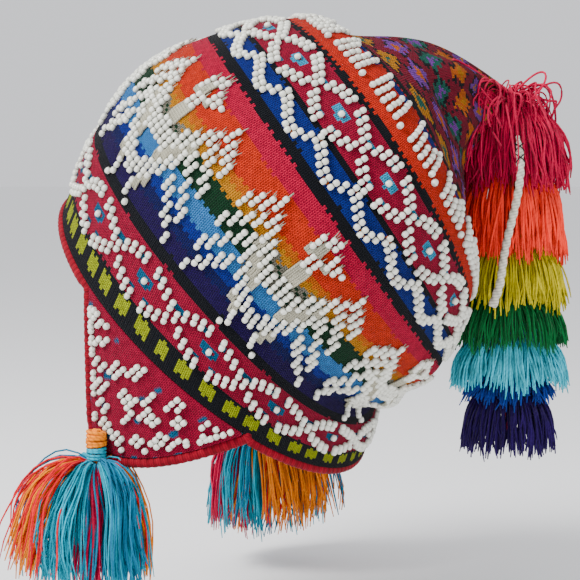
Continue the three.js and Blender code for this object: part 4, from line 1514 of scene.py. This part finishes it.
TIER_ROWS = (
    # node, hue, slot, top, hem, radius
    ("tier_crimson", Hue.MOP, Slot.CRIMSON, -25.0, -69.0, 30.0),
    ("tier_coral", Hue.CORAL, Slot.CORAL, -56.0, -105.0, 29.0),
    ("tier_yellow", Hue.OLIVE, Slot.YELLOW, -92.0, -130.0, 30.0),
    ("tier_green", Hue.LEAF, Slot.GREEN, -118.0, -150.0, 31.0),
    ("tier_turquoise", Hue.TURQUOISE, Slot.SKY, -139.0, -170.0, 32.0),
    ("tier_blue", Hue.BLUE, Slot.BLUE, -159.0, -177.0, 27.5),
    ("tier_violet", Hue.GRAPE, Slot.VIOLET, -168.0, -204.0, 25.5),
)


@dataclass
class TierShape:
    """Skirt of one tier of the tail tassel."""

    top: float
    hem: float
    radius: float
    core: float = 5.5
    slope: float = 10.0

    def reach(self, height: Array) -> Array:
        """Outer radius at a height."""
        flare = 1 - np.exp(-np.maximum(self.top - height, 0) / self.slope)
        return self.core + (self.radius - self.core) * flare


@dataclass
class TailTassel:
    """Long tassel on the tail: seven skirts of cut yarn, one under another, on a twisted cord.

    Attributes:
        axis: place of its upright middle line, x and y.
        strands: strands of a skirt per millimetre of its radius.
        steps: points of a strand.
        weave: the crown's knitting, which strands stay clear of.
    """

    axis: tuple[float, float] = (-70.0, 130.0)
    strands: float = 16.0
    steps: int = 10
    weave: Weave = field(default_factory=Weave)

    def __post_init__(self) -> None:
        """Sample the crown near the tassel."""
        around, along = np.meshgrid(np.linspace(0, TAU, 120, endpoint=False), np.linspace(150, 295, 90))
        form = self.weave.form
        self.skin = form.point(around.ravel(), along.ravel())
        self.skin_out = form.normal(around.ravel(), along.ravel())
        self.near = kdtree.KDTree(len(self.skin))
        for number, place in enumerate(self.skin):
            self.near.insert(place, number)
        self.near.balance()

    def clear(self, routes: Array, room: float) -> Array:
        """Move points that lie in the crown out of it by a room."""
        flat = routes.reshape(-1, 3).copy()
        for number, place in enumerate(flat):
            _, index, distance = self.near.find(Vector(place))
            if distance > 12:
                continue
            depth = float((place - self.skin[index]) @ self.skin_out[index])
            if depth < room:
                flat[number] = place + self.skin_out[index] * (room - depth)
        return flat.reshape(routes.shape)

    def tier(self, index: int, finish: bpy.types.Material) -> None:
        """Make one skirt."""
        node, hue, slot, top, hem, radius = TIER_ROWS[index]
        rng = np.random.default_rng(60 + index)
        shape = TierShape(top, hem, radius)
        number, steps = int(self.strands * radius), self.steps
        angle = rng.uniform(0, TAU, number)
        depth = rng.uniform(0, 1, number) ** 2
        scale = 1.0 - 0.3 * depth
        start = top - rng.uniform(0, 1.0, number) - 4 * depth
        end = hem + rng.normal(0, 1.9, number) + 3.0 * depth + 1.6 * np.sin(5 * angle + 2 * index)
        t = np.linspace(0, 1, steps)[None] ** 1.35
        height = start[:, None] + (end - start)[:, None] * t
        reach = shape.reach(height) * scale[:, None] - 0.6
        loose = (rng.random((number, 1)) < 0.22) * rng.uniform(0.5, 4.2, (number, 1))
        tuft = 1.3 * np.sin(angle * 9 + index)[:, None] * t + loose * t ** 2
        drift = rng.normal(0, 0.09, (number, 1)) * t
        turned = angle[:, None] + drift
        out = np.maximum(reach + tuft * np.minimum(depth[:, None] + 0.3, 1) - 0.8, 0.8)
        x, y = self.axis[0] + out * np.cos(turned), self.axis[1] + out * np.sin(turned)
        routes = np.stack([x, y, height], -1)
        routes = routes + waver(rng, number, steps, 2.6 if index == 0 else 1.5)
        if index < 2:
            routes = self.clear(routes, 0.6)
        # Painted shade: strands that lie deeper inside the skirt are darker, on top of a random tone.
        light = rng.normal(1.0, 0.1, (number, 1)) * (1 - 0.25 * depth[:, None])
        colors = tinted(hue, light)
        radii = rng.uniform(0.42, 0.62, (number, 1)) * np.concatenate([np.ones(steps - 1), [0.5]])[None]
        parts = MeshParts()
        parts.strands(routes, radii, colors)
        dress(parts.build(f"{node}_skirt"), finish, slot, node)

    def loops(self, finish: bpy.types.Material) -> None:
        """Make the thin wiry loops that stand over the top of the tassel and the tail's end."""
        rng = np.random.default_rng(77)
        number, steps = 170, 20
        base = np.array([self.axis[0] + 3, self.axis[1] - 3, -27.0])
        side = rng.uniform(-1.0, 0.9, number)
        depth = rng.normal(0.35, 0.6, number)
        outward = ACROSS * side[:, None] + TOWARDS * depth[:, None]
        reach = rng.uniform(12, 30, number) * np.where(side < 0, 1.45, 0.85)
        rise = rng.uniform(2, 14, number)
        fall = rng.uniform(4, 44, number)
        t = np.linspace(0, 1, steps)[None]
        curl = rng.uniform(0.52, 0.9, (number, 1))
        out = reach[:, None] * np.sin(math.pi * curl * t)
        height = rise[:, None] * np.sin(math.pi * t) - fall[:, None] * t ** 2
        routes = base + rng.normal(0, 3.5, (number, 3)) * [1, 1, 0.3]
        routes = routes[:, None] + unit(outward)[:, None] * out[..., None] + height[..., None] * [0, 0, 1.0]
        routes = self.clear(routes + waver(rng, number, steps, 3.6), 0.8)
        colors = tinted(Hue.MOP, rng.uniform(0.7, 1.15, (number, 1)))
        parts = MeshParts()
        parts.strands(routes, rng.uniform(0.35, 0.6, (number, 1)) * np.ones((1, steps)), colors, 5)
        dress(parts.build("tassel_loops"), finish, Slot.CRIMSON)

    def cord(self, finish: bpy.types.Material) -> None:
        """Make the three-ply cord that the skirts are tied to."""
        centre, _, _, onward = self.weave.form.frame(np.array([self.weave.form.length]))
        rings, plies, lay, spread, thick = 90, 3, 7, 1.15, 1.3
        tip = centre[0] + onward[0] * 4.9
        below = np.array([*self.axis, tip[2] - 6])
        bend = [tip + (onward[0] * 5) * t for t in (0, 0.6)]
        end = [*self.axis, -196.0]
        line = spline(np.array([*bend, below, below - [0, 0, 60], below - [0, 0, 110], end]), rings)
        travel = travelled(line)
        routes = []
        for ply in range(plies):
            turn = travel / lay * TAU + ply * TAU / plies
            offset = np.stack([np.cos(turn), np.sin(turn), 0 * turn], -1)
            routes.append(line + offset * spread)
        parts = MeshParts()
        parts.strands(np.array(routes), np.full((plies, rings), thick), linear(Hue.TAIL_CRIMSON), 8)
        dress(parts.build("tassel_cord"), finish, Slot.CRIMSON, "tail_tassel_cord")


# White cord


@dataclass
class DropCord:
    """Short cord of two ivory plies that hangs down the tassel, with two black cross-stitches on it.

    Attributes:
        route: points of its middle line: across, towards and height.
        diameter: its diameter.
        lay: length in which the plies go once round.
    """

    route: tuple[tuple[float, float, float], ...] = (
        (147.6, 26.4, -45.0), (147.9, 29.5, -49.9), (148.1, 31.8, -55.2), (148.2, 33.2, -60.8),
        (147.8, 33.8, -66.6), (147.1, 34.0, -72.4), (146.0, 34.1, -78.1), (144.7, 34.2, -83.7),
        (143.4, 34.2, -89.4), (142.0, 34.2, -95.0), (140.9, 34.2, -100.7), (140.0, 34.2, -106.5),
        (139.3, 34.2, -112.2), (138.4, 34.2, -118.0), (136.7, 34.1, -123.5), (134.8, 34.0, -129.0),
    )
    diameter: float = 4.5
    lay: float = 10.0
    rings: int = 130
    sides: int = 18

    def points(self) -> Array:
        """Middle line in millimetres."""
        rows = np.array(self.route)
        return rows[:, :1] * ACROSS + rows[:, 1:2] * TOWARDS + rows[:, 2:] * [0, 0, 1.0]

    def make(self, wool: bpy.types.Material, thread: bpy.types.Material) -> None:
        line = spline(self.points(), self.rings)
        along = unit(np.gradient(line, axis=0))
        across = unit(np.cross(along, TOWARDS))
        up = np.cross(across, along)
        travel = travelled(line)
        share = travel / travel[-1]
        angle = TAU * np.arange(self.sides) / self.sides
        turn = travel / self.lay * TAU
        lobe = np.abs(np.cos(angle[None] - turn[:, None]))
        taper = (0.45 + 0.47 * smoothstep(share, 0.0, 0.12)) * (1 + 0.14 * smoothstep(share, 0.8, 1.0))
        radius = self.diameter / 2 * (0.68 + 0.33 * lobe ** 0.8) * taper[:, None]
        ring = np.cos(angle)[None, :, None] * across[:, None] + np.sin(angle)[None, :, None] * up[:, None]
        points = (line[:, None] + ring * radius[..., None]).reshape(-1, 3)
        cap = np.arange(self.sides)[None]
        side = grid_faces(self.rings, self.sides, True)[:, ::-1]
        faces = [side, cap, cap[:, ::-1] + (self.rings - 1) * self.sides]
        # Painted shade: the ivory darkens in the groove between the two plies.
        color = tinted(Hue.IVORY, 0.62 + 0.42 * lobe.reshape(-1, 1) ** 0.5)
        uv = np.stack(np.broadcast_arrays((np.arange(self.sides) / 6)[None], travel[:, None]), -1)
        parts = MeshParts()
        parts.add(points, faces, color, uv.reshape(-1, 2))
        cord = dress(parts.build("plied_white_cord"), wool, Slot.IVORY, "white_drop_cord")
        stitches = self.cross_stitches(line, across, up, travel)
        dress(stitches, thread, Slot.IVORY)
        path = [tuple(point * MM) for point in self.points()]
        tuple(path[0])

    def cross_stitches(self, line: Array, across: Array, up: Array, travel: Array) -> bpy.types.Object:
        """Make the black cross-stitches near the cord's upper end."""
        routes = []
        side = up * np.sign((up @ TOWARDS)[:, None])
        places, half_height, half_turn = (7.0, 12.5), 2.3, 1.15
        for middle in places:
            for way in (-1, 1):
                steps = np.linspace(-1, 1, 12)
                place = middle + steps * half_height
                centre = np.stack([np.interp(place, travel, line[:, k]) for k in range(3)], -1)
                row = int(np.argmin(np.abs(travel - middle)))
                swing = steps * way * half_turn
                offset = across[row] * np.sin(swing)[:, None] + side[row] * np.cos(swing)[:, None]
                routes.append(centre + offset * (self.diameter / 2 + 0.25))
        parts = MeshParts()
        parts.strands(np.array(routes), np.full((4, 12), 0.3), linear(Hue.THREAD), 6)
        return parts.build("cord_cross_stitches")


# Studio


@dataclass
class Studio:
    """Camera at the photograph's place, soft light from its left and a pale floor.

    Attributes:
        target: point that the camera looks at.
        towards: direction from it to the camera.
        distance: distance of the camera in metres.
        lens: focal length for a sensor 36 mm wide.
    """

    target: tuple[float, float, float] = (-0.01643, 0.0309, -0.123)
    towards: tuple[float, float, float] = (0.8808, 0.4683, 0.0698)
    right: tuple[float, float, float] = (-0.4695, 0.8829, 0.0)
    above: tuple[float, float, float] = (-0.0616, -0.0328, 0.9976)
    distance: float = 0.9
    lens: float = 108.93
    floor: float = -0.285

    def camera(self) -> None:
        """Put up the camera."""
        view = bpy.data.cameras.new("Camera")
        view.lens, view.sensor_width, view.clip_end = self.lens, 36.0, 20.0
        item = link(bpy.data.objects.new("Camera", view))
        place = Matrix((self.right, self.above, self.towards)).transposed().to_4x4()
        place.translation = Vector(self.target) + self.distance * Vector(self.towards)
        item.matrix_world = place
        bpy.context.scene.camera = item

    def lamp(self, name: str, away: tuple[float, float, float], size: float, power: float) -> None:
        """Put up a soft square lamp that faces the hat.

        Args:
            name: its name.
            away: metres to the camera's right, above and towards the camera.
            size: its side in metres.
            power: its power in watts.
        """
        light = bpy.data.lights.new(name, "AREA")
        light.size, light.energy = size, power
        item = link(bpy.data.objects.new(name, light))
        place = Vector(self.target)
        for share, way in zip(away, (self.right, (0, 0, 1), self.towards)):
            place = place + share * Vector(way)
        item.location = place
        item.rotation_euler = (place - Vector(self.target)).to_track_quat("Z", "Y").to_euler()

    def set_up(self) -> None:
        """Put up the camera, the lamps, the surroundings and the floor."""
        self.camera()
        self.lamp("Key", (-0.85, 1.0, 0.6), 0.6, 40.0)
        self.lamp("Fill", (0.9, 0.1, 1.0), 1.2, 7.0)
        world = bpy.data.worlds.new("Pale room")
        world.use_nodes = True
        world.node_tree.nodes["Background"].inputs[0].default_value = (0.95, 0.96, 1.0, 1)
        world.node_tree.nodes["Background"].inputs[1].default_value = 1.0
        bpy.context.scene.world = world
        bpy.ops.mesh.primitive_plane_add(size=40.0, location=(0, 0, self.floor))
        floor = bpy.context.object
        floor.name = "floor"
        paint = bpy.data.materials.new("Matt white paper")
        paint.use_nodes = True
        shader = paint.node_tree.nodes["Principled BSDF"]
        shader.inputs["Base Color"].default_value = (0.93, 0.93, 0.93, 1)
        shader.inputs["Roughness"].default_value = 0.9
        floor.data.materials.append(paint)
        bpy.ops.object.select_all(action="DESELECT")


def main() -> None:
    """Build the whole hat."""
    Studio().set_up()
    cord_wool = WoolYarn("Plied ivory wool", twist=1.6, depth=0.3, mottle=0.08).material()
    thread = WoolYarn("Black sewing thread", twist=0.8, depth=0.1).material()
    DropCord().make(cord_wool, thread)
    knit = WoolKnit("Fine dyed wool knitting").material()
    glass = SeedBeadGlass().material()
    floats = WoolYarn("Ivory wool floats", twist=1.4, depth=0.2, mottle=0.1).material()
    crown = KnitCrown()
    crown.knit(knit)
    crown.bead_work(glass)
    crown.floats(floats)
    for side, mirror in (("left", 1), ("right", -1)):
        flap = EarFlap(side, mirror)
        flap.knit(knit)
        flap.bead_work(glass)
    EdgeBinding().make(WoolYarn("Red crochet wool", twist=1.2, depth=0.35).material())
    wraps = {color: WoolYarn(f"{color.capitalize()} wrapping wool").material() for color, *_ in WRAP_ROWS}
    loose = WoolYarn("Loose tassel wool", twist=2.2, depth=0.15, groove=0.82).material()
    for side, mirror in (("left", 1), ("right", -1)):
        for color, hue, slot, *measures in WRAP_ROWS:
            wrap = YarnWrap(f"{color}_windings_{side}", hue, slot, f"{color}_wrap_{side}", *measures)
            wrap.make(wraps[color], mirror)
    FlapTassel("left", 1, tuple(-ACROSS)).make(loose)
    FlapTassel("right", -1, (-0.2 * ACROSS[0], ACROSS[1], 0.0)).make(loose)
    tassel = TailTassel()
    skirts = WoolYarn("Skirt wool of the tail tassel", twist=2.4, depth=0.15, groove=0.82).material()
    for index in range(len(TIER_ROWS)):
        tassel.tier(index, skirts)
    tassel.loops(skirts)
    tassel.cord(skirts)


if __name__ == "__main__":
    main()
